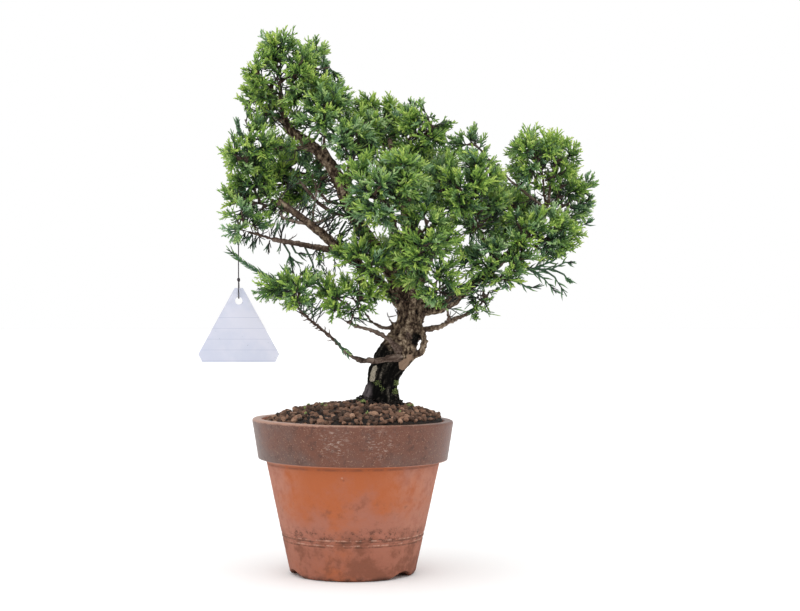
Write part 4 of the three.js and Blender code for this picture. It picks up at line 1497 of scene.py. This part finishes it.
@dataclass
class Wood:
    """The trunk with its limbs and branches, and the stringy bark on them.

    Routes, patches and the heights of the bark are in millimetres. A twig has its radius before its
    route, a stout limb has its reach and height after it, and a patch of moss has its radius last.
    """

    voxel: float = 1.0 * MM
    rounding: int = 4
    smoothing: float = 0.6
    swell: float = 0.22
    twig_shrink: float = 0.25
    strand_heights: Pair = (0.4, 1.9)
    lump_heights: Pair = (0.6, 0.5)
    lump_scales: Pair = (0.34, 0.16)
    grain_scales: Pair = (0.55, 1.3)
    grain_steps: int = 14
    slim_steps: int = 6
    straight: float = 0.93
    slim_gain: float = 6
    streak: tuple[float, ...] = (-5.0, -3.4, -1.7, 0.0, 1.7, 3.4, 5.0)
    trunk_end: Pair = (230, 160)
    crossing: tuple = (
        ((33.5, -10.5, 162), (26, -13, 160.8), (13.6, -16, 159.8)),
        ((34, -9.5, 168.5), (26.4, -11.5, 176), (12, -14, 183)),
    )
    crossing_reach: float = 3.6
    crossing_heights: Pair = (154, 186)
    crossing_front: float = -7
    spur_pitch: float = 2.4 * MM
    spur_radii: Pair = (0.6 * MM, 0.45 * MM)
    spur_reach: Pair = (2.5, 5.5)
    twig_grain: Pair = (0.35, 0.7)
    twig_seed: int = 57
    twigs: tuple = (
        (1.7, ((-3, -10, 268), (-15, -12, 270), (-26, -13, 277.7), (-35.2, -14, 288.5), (-42, -14, 297))),
        (1.1, ((-30.7, -18.4, 261), (-15.9, -15, 266.3), (-11.8, -13, 269.1), (-4, -9, 275))),
        (1.2, ((-3, -9.5, 274), (-19.2, -13, 279), (-26.6, -14, 288), (-31, -14, 299))),
        (1.0, ((-30, -18, 260.5), (-29, -17, 271), (-27, -16, 284), (-22, -17, 297))),
        (1.4, ((-33, -18.5, 261.5), (-42.5, -20, 263), (-51.4, -20, 266), (-56, -20, 273))),
        (0.0, ((-14, -21.2, 175.8), (-24, -22, 184.7), (-36, -22, 194))),
    )
    stout: tuple = (
        (((-2, -16, 236), (-24, -19, 255.6), (-41.5, -18, 269), (-56, -12, 280)), 6.5, 1.7),
        (((-14, -19, 242), (-36, -22, 246), (-55.8, -22.5, 249.5)), 4.5, 1.1),
        (((-2.3, -9, 273), (-13.6, -10, 302), (-31.7, -6, 322), (-48, -1, 334)), 8.0, 0.8),
    )
    moss_at: tuple = (
        (32.4, 142.5, 3.0), (31.4, 136.0, 3.0), (19.0, 142.5, 3.2), (22.5, 138.0, 2.2), (9.0, 125.5, 3.2),
    )
    moss_back: float = 5
    moss_fullness: float = 1.3
    moss_radii: Pair = (0.22 * MM, 0.25 * MM)
    moss_length: Pair = (0.9, 1.9)
    moss_seed: int = 41

    def remeshed(self) -> bpy.types.Mesh:
        """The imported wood, as an even fine mesh.

        Returns:
            The mesh.
        """
        work = merged("wood")
        mesh = bpy.data.meshes.new("wood_work")
        work.to_mesh(mesh)
        work.free()
        helper = placed("wood_work", mesh)
        remesh = helper.modifiers.new("even", "REMESH")
        remesh.mode = "VOXEL"
        remesh.voxel_size = self.voxel
        result = applied(helper)
        bpy.data.objects.remove(helper)
        return result

    def build(self) -> Piece:
        """Round the wood, work out its grain and raise the bark.

        Returns:
            The wood.
        """
        mesh = self.remeshed()
        averaged = averager(mesh)
        count = len(mesh.vertices)
        places = np.zeros(count * 3)
        mesh.vertices.foreach_get("co", places)
        places = places.reshape(-1, 3)
        for _ in range(self.rounding):
            places = (1 - self.smoothing) * places + self.smoothing * averaged(places)
        mesh.vertices.foreach_set("co", places.ravel())
        mesh.update()
        normals = np.array([vertex.normal[:] for vertex in mesh.vertices])
        axes, slim = self.growth(normals, averaged)
        grain = np.zeros(count)
        heights = np.zeros(count)
        for i in range(count):
            here = Vector(places[i]) / MM
            grain[i] = self.grain(here, Vector(axes[i]))
            heights[i] = self.bark(here, grain[i], slim[i]) + self.stoutness(here, Vector(normals[i]))
            if self.crosses(here):
                slim[i] = 1.0
        places += normals * heights[:, None] * MM
        mesh.vertices.foreach_set("co", places.ravel())
        for label, values in (("grain", grain), ("twig", np.clip(slim * self.slim_gain, 0, 1))):
            layer = mesh.attributes.new(label, "FLOAT", "POINT")
            layer.data.foreach_set("value", values)
        mesh.materials.clear()
        wood = as_piece("trunk_and_limbs", mesh, Finish.BARK)
        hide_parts("wood")
        return wood

    def growth(
        self, normals: np.ndarray, averaged: Callable[[np.ndarray], np.ndarray]
    ) -> tuple[np.ndarray, np.ndarray]:
        """Which way the wood grows at each point, and how slim it is there.

        Args:
            normals: The way that the surface faces at each point.
            averaged: The mean over each point's neighbours.

        Returns:
            The directions, and 0 on thick wood up to 1 on the finest twig.
        """
        spread = np.einsum("ni,nj->nij", normals, normals).reshape(-1, 9)
        bend = normals.copy()
        for step in range(self.grain_steps):
            spread = 0.5 * spread + 0.5 * averaged(spread)
            if step < self.slim_steps:
                bend = 0.5 * bend + 0.5 * averaged(bend)
        axes = np.linalg.eigh(spread.reshape(-1, 3, 3))[1][:, :, 0]
        return axes, 1 - np.clip(np.linalg.norm(bend, axis=1) / self.straight, 0, 1)

    def grain(self, place: Vector, axis: Vector) -> float:
        """The bark's grain, drawn out along the wood.

        Args:
            place: The place, in millimetres.
            axis: The way that the wood grows there.

        Returns:
            The grain, 0 in a furrow and 1 on a strand.
        """
        coarse, fine = self.grain_scales
        value = 0.0
        for far in self.streak:
            at = place + axis * far
            value += noise.noise(at * coarse) + 0.5 * noise.noise(at * fine)
        return clamped(0.5 + 0.9 * value / len(self.streak))

    def bark(self, place: Vector, grain: float, slim: float) -> float:
        """How high the bark is, in millimetres: coarse on the trunk, and fine on a twig.

        Args:
            place: The place, in millimetres.
            grain: The grain there.
            slim: How slim the wood is there.

        Returns:
            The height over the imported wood.
        """
        big = smooth_step(*self.trunk_end, place.z)
        lump, more_lump = self.lump_heights
        scale, coarser = self.lump_scales
        strand, more_strand = self.strand_heights
        lumps = (lump + more_lump * big) * noise.noise(place * (scale - coarser * big))
        shrink = self.twig_shrink * min(1, self.slim_gain * slim)
        return self.swell - shrink + (strand + more_strand * big) * (grain - 0.45) + lumps

    def stoutness(self, place: Vector, normal: Vector) -> float:
        """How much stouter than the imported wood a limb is, mostly on its lower side.

        Args:
            place: The place, in millimetres.
            normal: The way that the surface faces there.

        Returns:
            The height to add, in millimetres.
        """
        lower = 0.5 + 0.35 * (normal.x - normal.z)
        most = 0.0
        for route, reach, height in self.stout:
            near = smooth_step(reach, 0.55 * reach, distance(place, route))
            most = max(most, height * near * (0.3 + 0.7 * lower))
        return most

    def crosses(self, place: Vector) -> bool:
        """Whether a place is on one of the limbs that cross in front of the trunk, in millimetres."""
        low, high = self.crossing_heights
        if not low <= place.z <= high or place.y > self.crossing_front:
            return False
        return any(distance(place, route) < self.crossing_reach for route in self.crossing)

    def grow_twigs(self) -> Piece:
        """Grow the bare brown twigs, each with short spurs along it.

        Returns:
            The twigs.
        """
        rng = random.Random(self.twig_seed)
        draft = Draft()
        for thick, route in self.twigs:
            points = [Vector(point) * MM for point in route]
            steps = len(points)
            if thick > 0:
                radii = [thick * MM * (1.0 - 0.5 * i / steps) for i in range(steps - 1)]
                draft.tube(points, radii, 6, [rng.uniform(*self.twig_grain) for _ in points], 0.0)
            for a, b in zip(points, points[1:]):
                way = (b - a).normalized()
                for step in range(round((b - a).length / self.spur_pitch)):
                    foot = a.lerp(b, (step + rng.random()) * self.spur_pitch / (b - a).length)
                    out = sideways(way, rng)
                    far = rng.uniform(*self.spur_reach) * MM
                    mid = foot + (out + way * 0.5) * far * 0.6
                    tip = mid + (out * 0.4 + way * rng.uniform(0.1, 0.9)) * far * 0.5
                    draft.tube([foot, mid, tip], self.spur_radii, 4, [0.4, 0.5, 0.6], 0.0)
        draft.stored = {"grain": draft.stored["light"], "twig": [1.0] * len(draft.points)}
        piece = draft.piece("brown_twigs", Finish.BARK)
        return piece

    def grow_moss(self, wood: Piece) -> Piece:
        """Grow moss in small patches near the foot of the trunk.

        Args:
            wood: The wood.

        Returns:
            The moss.
        """
        rng = random.Random(self.moss_seed)
        draft = Draft()
        for polygon in wood.data.polygons:
            foot = polygon.center
            x, y, z = foot / MM
            near = max(
                smooth_step(reach, 0.4 * reach, math.hypot(x - px, z - pz))
                for px, pz, reach in self.moss_at
            )
            if y > self.moss_back or rng.random() > self.moss_fullness * near:
                continue
            lean = (polygon.normal + Vector((rng.gauss(0, 0.35), rng.gauss(0, 0.35), 0.5))).normalized()
            tip = foot + lean * rng.uniform(*self.moss_length) * MM
            route = [foot, foot.lerp(tip, 0.5), tip]
            draft.tube(route, self.moss_radii, 3, [0.0, 0.4, 0.8], rng.random())
        piece = draft.piece("moss_on_trunk", Finish.MOSS)
        return piece


@dataclass(frozen=True)
class Habit:
    """How the side shoots of a spray grow.

    Attributes:
        sides: How many there are.
        radius: Their radius.
        blunt: What is left of it near the tip.
        lean: Their least and greatest angle to the main shoot, in degrees.
        reach: The length of the lowest, as a share of the spray's.
        taper: How much shorter the last one is.
        rise: How much lighter the main shoot's tip is than its foot.
        gain: How much lighter a side shoot gets, at least and at most.
        fade: How much darker its very tip is.
        cooler: What is added to the tint.
        forks: How far along a side shoot its forks may stand.
    """

    sides: int
    radius: float
    blunt: float
    lean: Pair
    reach: float
    taper: float
    rise: float
    gain: Pair
    fade: float
    cooler: float
    forks: tuple[float, ...]


class Spray(Enum):
    """The two habits of the shoots: short forked fingers at the crown's rim, and long cords inside."""

    FAN = Habit(
        sides=8, radius=0.45 * MM, blunt=0.98, lean=(22, 44), reach=0.6, taper=0.28,
        rise=0.4, gain=(0.06, 0.42), fade=0.1, cooler=0.0, forks=(0.28, 0.52, 0.76),
    )
    CORDS = Habit(
        sides=4, radius=0.42 * MM, blunt=0.9, lean=(10, 30), reach=1.0, taper=0.45,
        rise=0.32, gain=(0.02, 0.4), fade=0.05, cooler=0.35, forks=(),
    )


@dataclass
class Foliage:
    """The leafy stems: fans of forked fingers outside and long cord-like shoots inside.

    The clumps, the shaded places inside them, the clearings and the bridges between clumps are
    ellipsoids, each with its middle and half sizes in millimetres. A shaded place also says how far out
    in the crown its sprays count, which sets how dark they are painted as shade. The loose and the clad
    twigs are lines through points, in millimetres.
    """

    main_radius: float = 0.5 * MM
    rim_share: float = 0.5
    rim_spread: float = 0.14
    bow: float = 0.09
    lift: float = 0.06
    foot_light: float = 0.12
    rim_light: float = 0.26
    light_spread: float = 0.09
    rise_spread: float = 0.12
    tint_spread: float = 0.2
    joints: tuple[float, ...] = (0.0, 0.4, 0.9, 1.0)
    upward: float = 0.25
    uneven: Pair = (0.75, 1.25)
    curl: float = 0.14
    fork_share: float = 0.8
    fork_lean: Pair = (0.5, 0.9)
    fork_reach: Pair = (0.34, 0.56)
    fork_radius: float = 1.35
    fork_lift: float = 0.1
    tip_edges: int = 3
    core_light: float = 0.06
    infill_pitch: float = 8.2 * MM
    infill_loose: float = 0.45
    infill_hollow: float = 0.35
    infill_near: float = 4.5 * MM
    infill_far: float = 26 * MM
    longest_spray: float = 15 * MM
    inner_pitch: float = 6.4 * MM
    inner_loose: float = 0.5
    inner_near: float = 2 * MM
    inner_far: float = 24 * MM
    inner_reach: Pair = (7, 10)
    inner_spray: float = 11 * MM
    spurs: int = 420
    spur_floor: float = 190 * MM
    spur_reach: Pair = (3, 9)
    twig_radius: float = 0.5 * MM
    twig_sag: float = 0.06
    loose_radius: float = 1.05 * MM
    loose_pitch: float = 3.4 * MM
    loose_reach: Pair = (4.5, 8.5)
    loose_light: Pair = (0.5, 0.74)
    loose_tint: Pair = (0.5, 0.95)
    clad_pitch: float = 1.3 * MM
    clad_reach: Pair = (3.0, 6.0)
    joined_within: float = 14 * MM
    seed: int = 90
    drafts: list[Draft] = field(default_factory=list)
    tints: list[float] = field(default_factory=list)
    cores: list[tuple[Vector, int]] = field(default_factory=list)
    clumps: tuple = (
        ((-54, -12, 377), (29, 30, 32)), ((-29, 16, 376), (21, 28, 29)), ((-24, -22, 345), (29, 28, 28)),
        ((-70, 14, 353), (20, 28, 24)), ((-76, -26, 318), (26, 30, 24)), ((-74, -12, 287), (25, 28, 26)),
        ((-48, 38, 302), (32, 30, 32)), ((-76, -27, 266), (21, 18, 14)), ((-2, -26, 323), (28, 30, 28)),
        ((16, 26, 338), (28, 30, 26)), ((51, -8, 331), (27, 32, 25)), ((24, -58, 286), (36, 30, 32)),
        ((50, 54, 300), (36, 30, 32)), ((92, 2, 322), (15, 15, 16)), ((82, -30, 288), (33, 32, 31)),
        ((141, -6, 312), (29, 30, 25)), ((162, 16, 284), (25, 28, 26)), ((139, -20, 252), (34, 30, 23)),
        ((104, -20, 233), (31, 28, 21)), ((52, -50, 246), (33, 28, 29)), ((64, -38, 216), (28, 22, 16)),
        ((9, -32, 234), (23, 25, 21)), ((-43, -27, 214), (36, 27, 17)), ((0, -28, 206), (29, 24, 16)),
        ((114, 50, 274), (36, 30, 31)), ((40, 74, 240), (32, 26, 26)),
    )
    inner: tuple = (
        ((-20, -15, 284), (17, 7, 21), 0.2), ((-50, -17, 268), (15, 7, 12), 0.15),
        ((84, -26, 214), (15, 12, 8), 0.2), ((-5, -26, 262), (13, 10, 16), 0.2),
        ((-42, -20, 320), (17, 14, 9), 0.5), ((30, -26, 222), (15, 8, 14), 0.6),
        ((80, -28, 205), (14, 6, 10), 0.3), ((93, -28, 199), (12, 6, 8), 0.4),
        ((-64, -20, 255), (17, 7, 10), 0.2), ((-29, -28, 196), (13, 6, 9), 0.3),
        ((1, -28, 194), (14, 6, 8), 0.4), ((17, -30, 262), (9, 8, 8), 0.5),
        ((79, -30, 253), (11, 8, 7), 0.5), ((-34, -10, 300), (14, 8, 14), 0.15),
        ((108, -16, 262), (14, 8, 12), 0.3), ((-52, -10, 346), (13, 8, 12), 0.3),
        ((98, -14, 303), (15, 10, 8), 0.55), ((60, -30, 206), (12, 8, 9), 0.55),
        ((24, -22, 209), (10, 8, 7), 0.45), ((-24, -24, 232), (10, 8, 8), 0.4),
        ((-84, -22, 300), (10, 10, 12), 0.5), ((104, -26, 216), (8, 8, 8), 0.5),
        ((-78, -24, 249), (12, 6, 6), 0.2), ((-58, -24, 246), (11, 6, 6), 0.2),
        ((-58, -30, 316), (11, 6, 6), 0.55),
    )
    clearings: tuple = (
        ((-96, -10, 338), (19, 70, 21)), ((-11, -10, 385), (9, 70, 12)), ((-81, -10, 386), (8, 70, 12)),
        ((66, -10, 346), (17, 70, 9)), ((-40, -10, 231), (11, 70, 7)), ((86, -10, 323), (8, 70, 6)),
        ((-56, -10, 228), (8, 70, 5)), ((-88, -10, 268), (7, 70, 7)), ((-42, -38, 327), (9, 30, 7)),
        ((-31, -38, 318), (9, 30, 8)), ((-21, -38, 307), (8, 30, 9)), ((-13, -38, 294), (8, 30, 9)),
        ((-8, -38, 281), (7, 30, 8)),
    )
    bridges: tuple = (
        ((112, -12, 286), (18, 18, 12)), ((-2, 0, 350), (16, 20, 14)), ((-54, -12, 381), (12, 12, 12)),
        ((-28, -16, 334), (11, 10, 8)),
    )
    loose_twigs: tuple = (
        ((-51, -20, 247), (-46.5, -20, 239.5), (-45.4, -20, 232.8)),
        ((-46.5, -20, 238), (-41.4, -20, 232.8)),
        ((-45, -20, 246), (-41.9, -20, 240.1), (-36.8, -20, 238.4)),
        ((-36, -20, 246), (-29.5, -21, 232.8), (-26, -22, 218.5)),
        ((-17, -24, 218), (-20.9, -24, 225.5)),
        ((-38, -24, 219), (-34, -24, 225.6)),
        ((-46.5, -24, 220), (-48.2, -24, 227)),
        ((-5, -8, 264), (-9.6, -12, 256), (-8.4, -13, 247)),
        ((112, -21, 222), (124, -20, 226), (132, -20, 227.5), (149, -20, 234), (158, -20, 241)),
        ((132, -20, 227.5), (148, -20, 228), (158, -21, 233), (163, -21, 232)),
        ((132, -20, 227.5), (142, -20, 221), (150, -20, 211.5)),
        ((142, -20, 227.5), (150, -21, 222), (156, -21, 212)),
        ((148, -20, 228), (157, -19, 224), (161, -19, 219)),
        ((112, -21, 222), (122, -22, 219), (130, -22, 214), (136, -22, 214)),
        ((160, 0, 258), (170, -4, 260), (178, -6, 264)),
    )
    clad_twigs: tuple = (
        ((-56, -24, 220), (-66, -24, 223.5), (-77.7, -24, 230.8), (-84.4, -24, 236), (-88.8, -24, 239.7)),
        ((-13, -22, 176), (-8.5, -21.5, 170.5), (-4, -21, 166)),
        ((-81, -30, 321), (-82.5, -31.5, 328), (-84, -32, 335)),
    )

    def build(self) -> list[Piece]:
        """Grow every stem's shoots, and those between the stems.

        Returns:
            One piece for each leafy stem.
        """
        names = sorted(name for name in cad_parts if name.startswith("leafy_stem_"))
        stems = [merged(name) for name in names]
        self.drafts = [Draft() for _ in names]
        self.tints = [random.Random(self.seed + i).uniform(0.05, 0.6) for i in range(len(names))]
        for index, stem in enumerate(stems):
            rng = random.Random(self.seed + index)
            tips = [vertex for vertex in stem.verts if len(vertex.link_edges) == self.tip_edges]
            for vertex in tips:
                if self.cleared(vertex.co):
                    continue
                near = [edge.other_vert(vertex).co for edge in vertex.link_edges]
                foot, tip = sum(near, Vector()) / len(near), vertex.co.copy()
                self.grow_spray(self.drafts[index], foot, tip, self.outward(tip), self.tints[index], rng)
            self.add_core(index, stem, tips)
            self.cores.extend((vertex.co.copy(), index) for vertex in stem.verts)
            stem.free()
        self.fill_between()
        self.fill_inside()
        self.add_loose_twigs()
        pieces = []
        for name, draft in zip(names, self.drafts):
            piece = draft.piece(name.replace("leafy_stem", "leafy_shoots"), Finish.LEAF)
            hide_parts(name)
            pieces.append(piece)
        return pieces

    def depth(self, offset: Vector, half: tuple | list) -> float:
        """How far out in an ellipsoid a place is.

        Args:
            offset: The place, from the ellipsoid's middle.
            half: The ellipsoid's half sizes.

        Returns:
            0 in the middle and 1 on the skin.
        """
        return math.sqrt(sum((o / h) ** 2 for o, h in zip(offset, half)))

    def cleared(self, place: Vector) -> bool:
        """Whether a place is in one of the clearings, where nothing grows."""
        return any(self.depth(place / MM - Vector(middle), half) < 1 for middle, half in self.clearings)

    def outward(self, place: Vector) -> float:
        """How far out and up in the crown a place is: 0 inside and under a clump, 1 on its top.

        Args:
            place: The place, in metres.

        Returns:
            Its share of the way.
        """
        nearest, rise = 1.25, 0.0
        for middle, half in self.clumps:
            offset = place / MM - Vector(middle)
            share = self.depth(offset, half)
            if share < nearest:
                nearest, rise = share, offset.z / half[2]
        return clamped(nearest + 0.22 * rise - 0.05)

    def walk(
        self, middle: tuple, half: tuple, pitch: float, loose: float, rng: random.Random
    ) -> Iterator[tuple[Vector, float]]:
        """Walk a loose grid of places around an ellipsoid.

        Args:
            middle: The ellipsoid's middle, in millimetres.
            half: Its half sizes, in millimetres.
            pitch: The pitch of the grid.
            loose: How far a place may be off the grid, as a share of the pitch.
            rng: The stream of random numbers.

        Yields:
            Each place, and how far out in the ellipsoid it is.
        """
        counts = [math.ceil(size * MM / pitch) for size in half]
        for cell in itertools.product(*(range(-count, count + 1) for count in counts)):
            jitter = Vector([rng.uniform(-loose, loose) for _ in range(3)])
            offset = (Vector(cell) + jitter) * pitch
            yield Vector(middle) * MM + offset, self.depth(offset, [size * MM for size in half])

    def nearest(self, place: Vector) -> tuple[Vector, int]:
        """The nearest point of the stems' cores to a place, with its stem."""
        return min(self.cores, key=lambda core: (core[0] - place).length_squared)

    def fill_between(self) -> None:
        """Grow sprays into the room between the stems, each on a twig from the nearest stem."""
        rng = random.Random(self.seed - 1)
        tree = tree_of([point for point, _ in self.cores])
        grown: set[tuple[int, ...]] = set()
        for middle, half in self.clumps + self.bridges:
            for tip, share in self.walk(middle, half, self.infill_pitch, self.infill_loose, rng):
                cell = tuple(round(c / self.infill_pitch) for c in tip)
                if not self.infill_hollow < share < 1.0 or cell in grown or self.cleared(tip):
                    continue
                point, number, far = tree.find(tip)
                if not self.infill_near < far < self.infill_far:
                    continue
                grown.add(cell)
                self.grow_on_twig(self.cores[number][1], point, tip, rng)

    def fill_inside(self) -> None:
        """Grow long cords and fine spurs in the shade inside the crown, each on the nearest wood."""
        rng = random.Random(self.seed - 2)
        wood = merged("wood")
        quarters = (0.0, 0.25, 0.5, 0.75)
        bark = [edge.verts[0].co.lerp(edge.verts[1].co, t) for edge in wood.edges for t in quarters]
        wood.free()
        tree = tree_of(bark)
        for middle, half, outer in self.inner:
            for tip, share in self.walk(middle, half, self.inner_pitch, self.inner_loose, rng):
                point, _, far = tree.find(tip)
                if share > 1.0 or not self.inner_near < far < self.inner_far or self.cleared(tip):
                    continue
                if far < self.inner_reach[0] * MM:
                    tip = point + (tip - point).normalized() * rng.uniform(*self.inner_reach) * MM
                self.grow_on_twig(self.nearest(tip)[1], point, tip, rng, outer)
        for _ in range(self.spurs):
            foot = rng.choice(bark)
            if foot.z < self.spur_floor:
                continue
            way = (thrown(rng, 1) + UP * 0.6).normalized()
            far = rng.uniform(*self.spur_reach) * MM
            route = [foot, foot + way * far, foot + way * far * 1.3 + UP * 0.2 * far]
            draft = self.drafts[self.nearest(foot)[1]]
            # Low light values paint the spurs dark brown, as painted shade inside the crown.
            draft.tube(route, [0.5 * MM, 0.35 * MM], 3, [0.0, 0.04, 0.08], 0.2)

    def add_loose_twigs(self) -> None:
        """Let a few forked twigs hang out of the crown, and dress a few more, each on the nearest stem."""
        rng = random.Random(self.seed + 99)
        loose = [(route, self.loose_pitch, self.loose_reach) for route in self.loose_twigs]
        clad = [(route, self.clad_pitch, self.clad_reach) for route in self.clad_twigs]
        for route, pitch, reach in loose + clad:
            points = [Vector(point) * MM for point in route]
            core, index = self.nearest(points[0])
            draft = self.drafts[index]
            if (core - points[0]).length < self.joined_within:
                points.insert(0, core)
            steps = len(points)
            radii = [self.loose_radius * (1.0 - 0.3 * i / steps) for i in range(steps - 1)]
            draft.tube(points, radii, 4, [0.36 + 0.16 * i / steps for i in range(steps)], 0.9)
            side = 1
            for a, b in zip(points[1:], points[2:]):
                count = max(1, round((b - a).length / pitch))
                for step in range(count):
                    side = -side
                    share = (step + rng.uniform(0.2, 0.8)) / count
                    self.add_loose_side(draft, a, b, share, side, reach, rng)
            way = (points[-1] - points[-2]).normalized()
            self.grow_spray(draft, points[-1] - way * 5 * MM, points[-1] + way * 2.5 * MM, 0.5, 0.7, rng)

    def add_loose_side(
        self, draft: Draft, start: Vector, end: Vector, share: float, side: int,
        reach: Pair, rng: random.Random,
    ) -> None:
        """Add a short side shoot to a loose twig.

        Args:
            draft: The mesh that it goes to.
            start: Where this part of the twig starts.
            end: Where it ends.
            share: How far along this part the shoot stands.
            side: The side that it is on, 1 or -1.
            reach: Its shortest and longest length, in millimetres.
            rng: The stream of random numbers.
        """
        way = (end - start).normalized()
        across = way.cross(BACK).normalized()
        foot = start.lerp(end, share)
        lean = way + across * side * rng.uniform(0.4, 0.8) + Vector((0, rng.gauss(0, 0.3), 0))
        far = rng.uniform(*reach) * MM
        bend = foot + lean.normalized() * far * 0.6
        tip = foot + lean.normalized() * far + way * 0.25 * far
        light = rng.uniform(*self.loose_light)
        r = 0.75 * self.loose_radius
        draft.tube([foot, bend, tip], [r, r * 0.9], 3, [0.42, light, light], rng.uniform(*self.loose_tint))

    def grow_on_twig(
        self, index: int, root: Vector, tip: Vector, rng: random.Random, outer: float | None = None
    ) -> None:
        """Grow a spray at the end of a twig.

        Args:
            index: The stem that it goes to.
            root: Where the twig leaves its stem.
            tip: Where the spray ends.
            rng: The stream of random numbers.
            outer: How far out in the crown it is, or none for what its place gives.
        """
        draft, way, foot = self.drafts[index], tip - root, root
        longest = self.longest_spray if outer is None else self.inner_spray
        if way.length > longest:
            foot = tip - way.normalized() * longest
            if outer is not None:
                tip = foot + (way.normalized() + thrown(rng, 0.45)).normalized() * longest
            bend = root.lerp(foot, 0.5) - UP * self.twig_sag * way.length
            r = self.twig_radius
            draft.tube([root, bend, foot, foot.lerp(tip, 0.1)], [r, r, r * 0.9], 3, [0.0] * 4, 0.0)
        outer = self.outward(tip) if outer is None else outer
        self.grow_spray(draft, foot, tip, outer, self.tints[index], rng)

    def add_core(self, index: int, stem: bmesh.types.BMesh, tips: list[bmesh.types.BMVert]) -> None:
        """Add the slim core that carries the shoots.

        Args:
            index: The number of the stem.
            stem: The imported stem.
            tips: The sharp ends of its shoots, which are closed off.
        """
        bmesh.ops.dissolve_verts(stem, verts=tips)
        stem.verts.index_update()
        points = [vertex.co.copy() for vertex in stem.verts]
        faces = [tuple(vertex.index for vertex in face.verts) for face in stem.faces]
        light, tint = self.core_light, self.tints[index] * 0.5
        self.drafts[index].add(points, faces, light=[light] * len(points), tint=[tint] * len(points))

    def grow_spray(
        self, draft: Draft, foot: Vector, tip: Vector, outer: float, tint: float, rng: random.Random
    ) -> None:
        """Grow one spray from a foot to a tip.

        Args:
            draft: The mesh that it goes to.
            foot: Where it starts.
            tip: Where its main shoot ends.
            outer: How far out in the crown it is, 0 to 1.
            tint: The stem's tint.
            rng: The stream of random numbers.
        """
        kind = Spray.FAN if outer + rng.gauss(0, self.rim_spread) > self.rim_share else Spray.CORDS
        habit = kind.value
        axis = tip - foot
        length = axis.length
        along = axis.normalized()
        bow = (UP * 0.5 + thrown(rng, 0.5)) * length * self.bow
        # Painted light and shade: sprays further out and up in the crown are painted lighter, inner ones
        # darker.
        low = self.foot_light + self.rim_light * outer + rng.gauss(0, self.light_spread)
        high = low + habit.rise + rng.gauss(0, self.rise_spread)
        own_tint = clamped(tint + rng.gauss(0, self.tint_spread) + habit.cooler)

        def place(share: float) -> Vector:
            """A place on the bowed main shoot."""
            lift = UP * (self.lift * length * share * share)
            return foot + axis * share + bow * (4 * share * (1 - share)) + lift

        light = [low + (high - low) * share for share in self.joints]
        radii = [self.main_radius * (1.1 - 0.45 * share) for share in self.joints[:-1]]
        draft.tube([place(share) for share in self.joints], radii, 3, light, own_tint)
        turn = rng.uniform(0, math.tau)
        one = along.orthogonal().normalized()
        two = along.cross(one)
        for i in range(habit.sides):
            share = 0.1 + 0.8 * (i + rng.uniform(0.1, 0.9)) / habit.sides
            turn += (math.pi + rng.gauss(0, 0.45)) if kind is Spray.FAN else GOLDEN_TURN
            lean = math.radians(rng.uniform(*habit.lean))
            out = one * math.cos(turn) + two * math.sin(turn) + UP * self.upward
            way = (along * math.cos(lean) + out * math.sin(lean)).normalized()
            reach = length * (habit.reach - habit.taper * share) * rng.uniform(*self.uneven)
            start = low + (high - low) * share
            self.grow_side(draft, place(share), way, reach, start, own_tint, rng, habit)

    def grow_side(
        self, draft: Draft, foot: Vector, way: Vector, reach: float, light: float, tint: float,
        rng: random.Random, habit: Habit,
    ) -> None:
        """Grow a side shoot, and its forks where it has them.

        Args:
            draft: The mesh that it goes to.
            foot: Where it starts.
            way: The way that it goes.
            reach: Its length.
            light: The light value at its foot.
            tint: Its tint.
            rng: The stream of random numbers.
            habit: How the shoots of its spray grow.
        """
        curl = (UP * 0.35 + thrown(rng, 0.4)) * reach * self.curl
        end = foot + way * (reach * 0.86) + curl * 0.7
        tip = foot + way * reach + curl
        bright = light + rng.uniform(*habit.gain)
        r = habit.radius
        draft.tube([foot, end, tip], [r, r * habit.blunt], 3, [light, bright, bright - habit.fade], tint)
        for share in habit.forks:
            if rng.random() > self.fork_share:
                continue
            branch = (way + sideways(way, rng) * rng.uniform(*self.fork_lean)).normalized()
            start = foot.lerp(end, share)
            far = reach * rng.uniform(*self.fork_reach)
            tip = start + branch * far + UP * self.fork_lift * far
            draft.tube([start, tip], [r * self.fork_radius], 3, [bright, bright - 0.05], tint)


@dataclass
class DrainMeshes:
    """The squares of plastic mesh over the drain holes, which stay as they are packed."""

    nodes: tuple[str, ...] = ("drain_mesh_1", "drain_mesh_2", "drain_mesh_3")

    def dress(self) -> None:
        """Give each mesh its plastic."""
        for node in self.nodes:
            dress(node, Finish.MESH)


def report(piece: Piece) -> None:
    """Log a piece and the size of its mesh."""
    faces = len(piece.data.polygons) if piece.type == "MESH" else 0
    log.info("%s: %d faces", piece.name, faces)


def main() -> None:
    """Build the scene in order."""
    logging.basicConfig(level=logging.INFO, format="%(name)s: %(message)s")
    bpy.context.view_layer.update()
    studio = Studio()
    studio.place_camera()
    report(HangTag().hang())
    studio.light()
    studio.lay_floor()
    report(Pot().build())
    DrainMeshes().dress()
    soil = Soil()
    for piece in (soil.lay_bed(), soil.scatter(), soil.heap_crumbs(), soil.grow_moss()):
        report(piece)
    wood = Wood()
    limbs = wood.build()
    report(limbs)
    report(wood.grow_twigs())
    report(wood.grow_moss(limbs))
    for piece in Foliage().build():
        report(piece)
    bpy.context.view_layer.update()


if __name__ == "__main__":
    main()
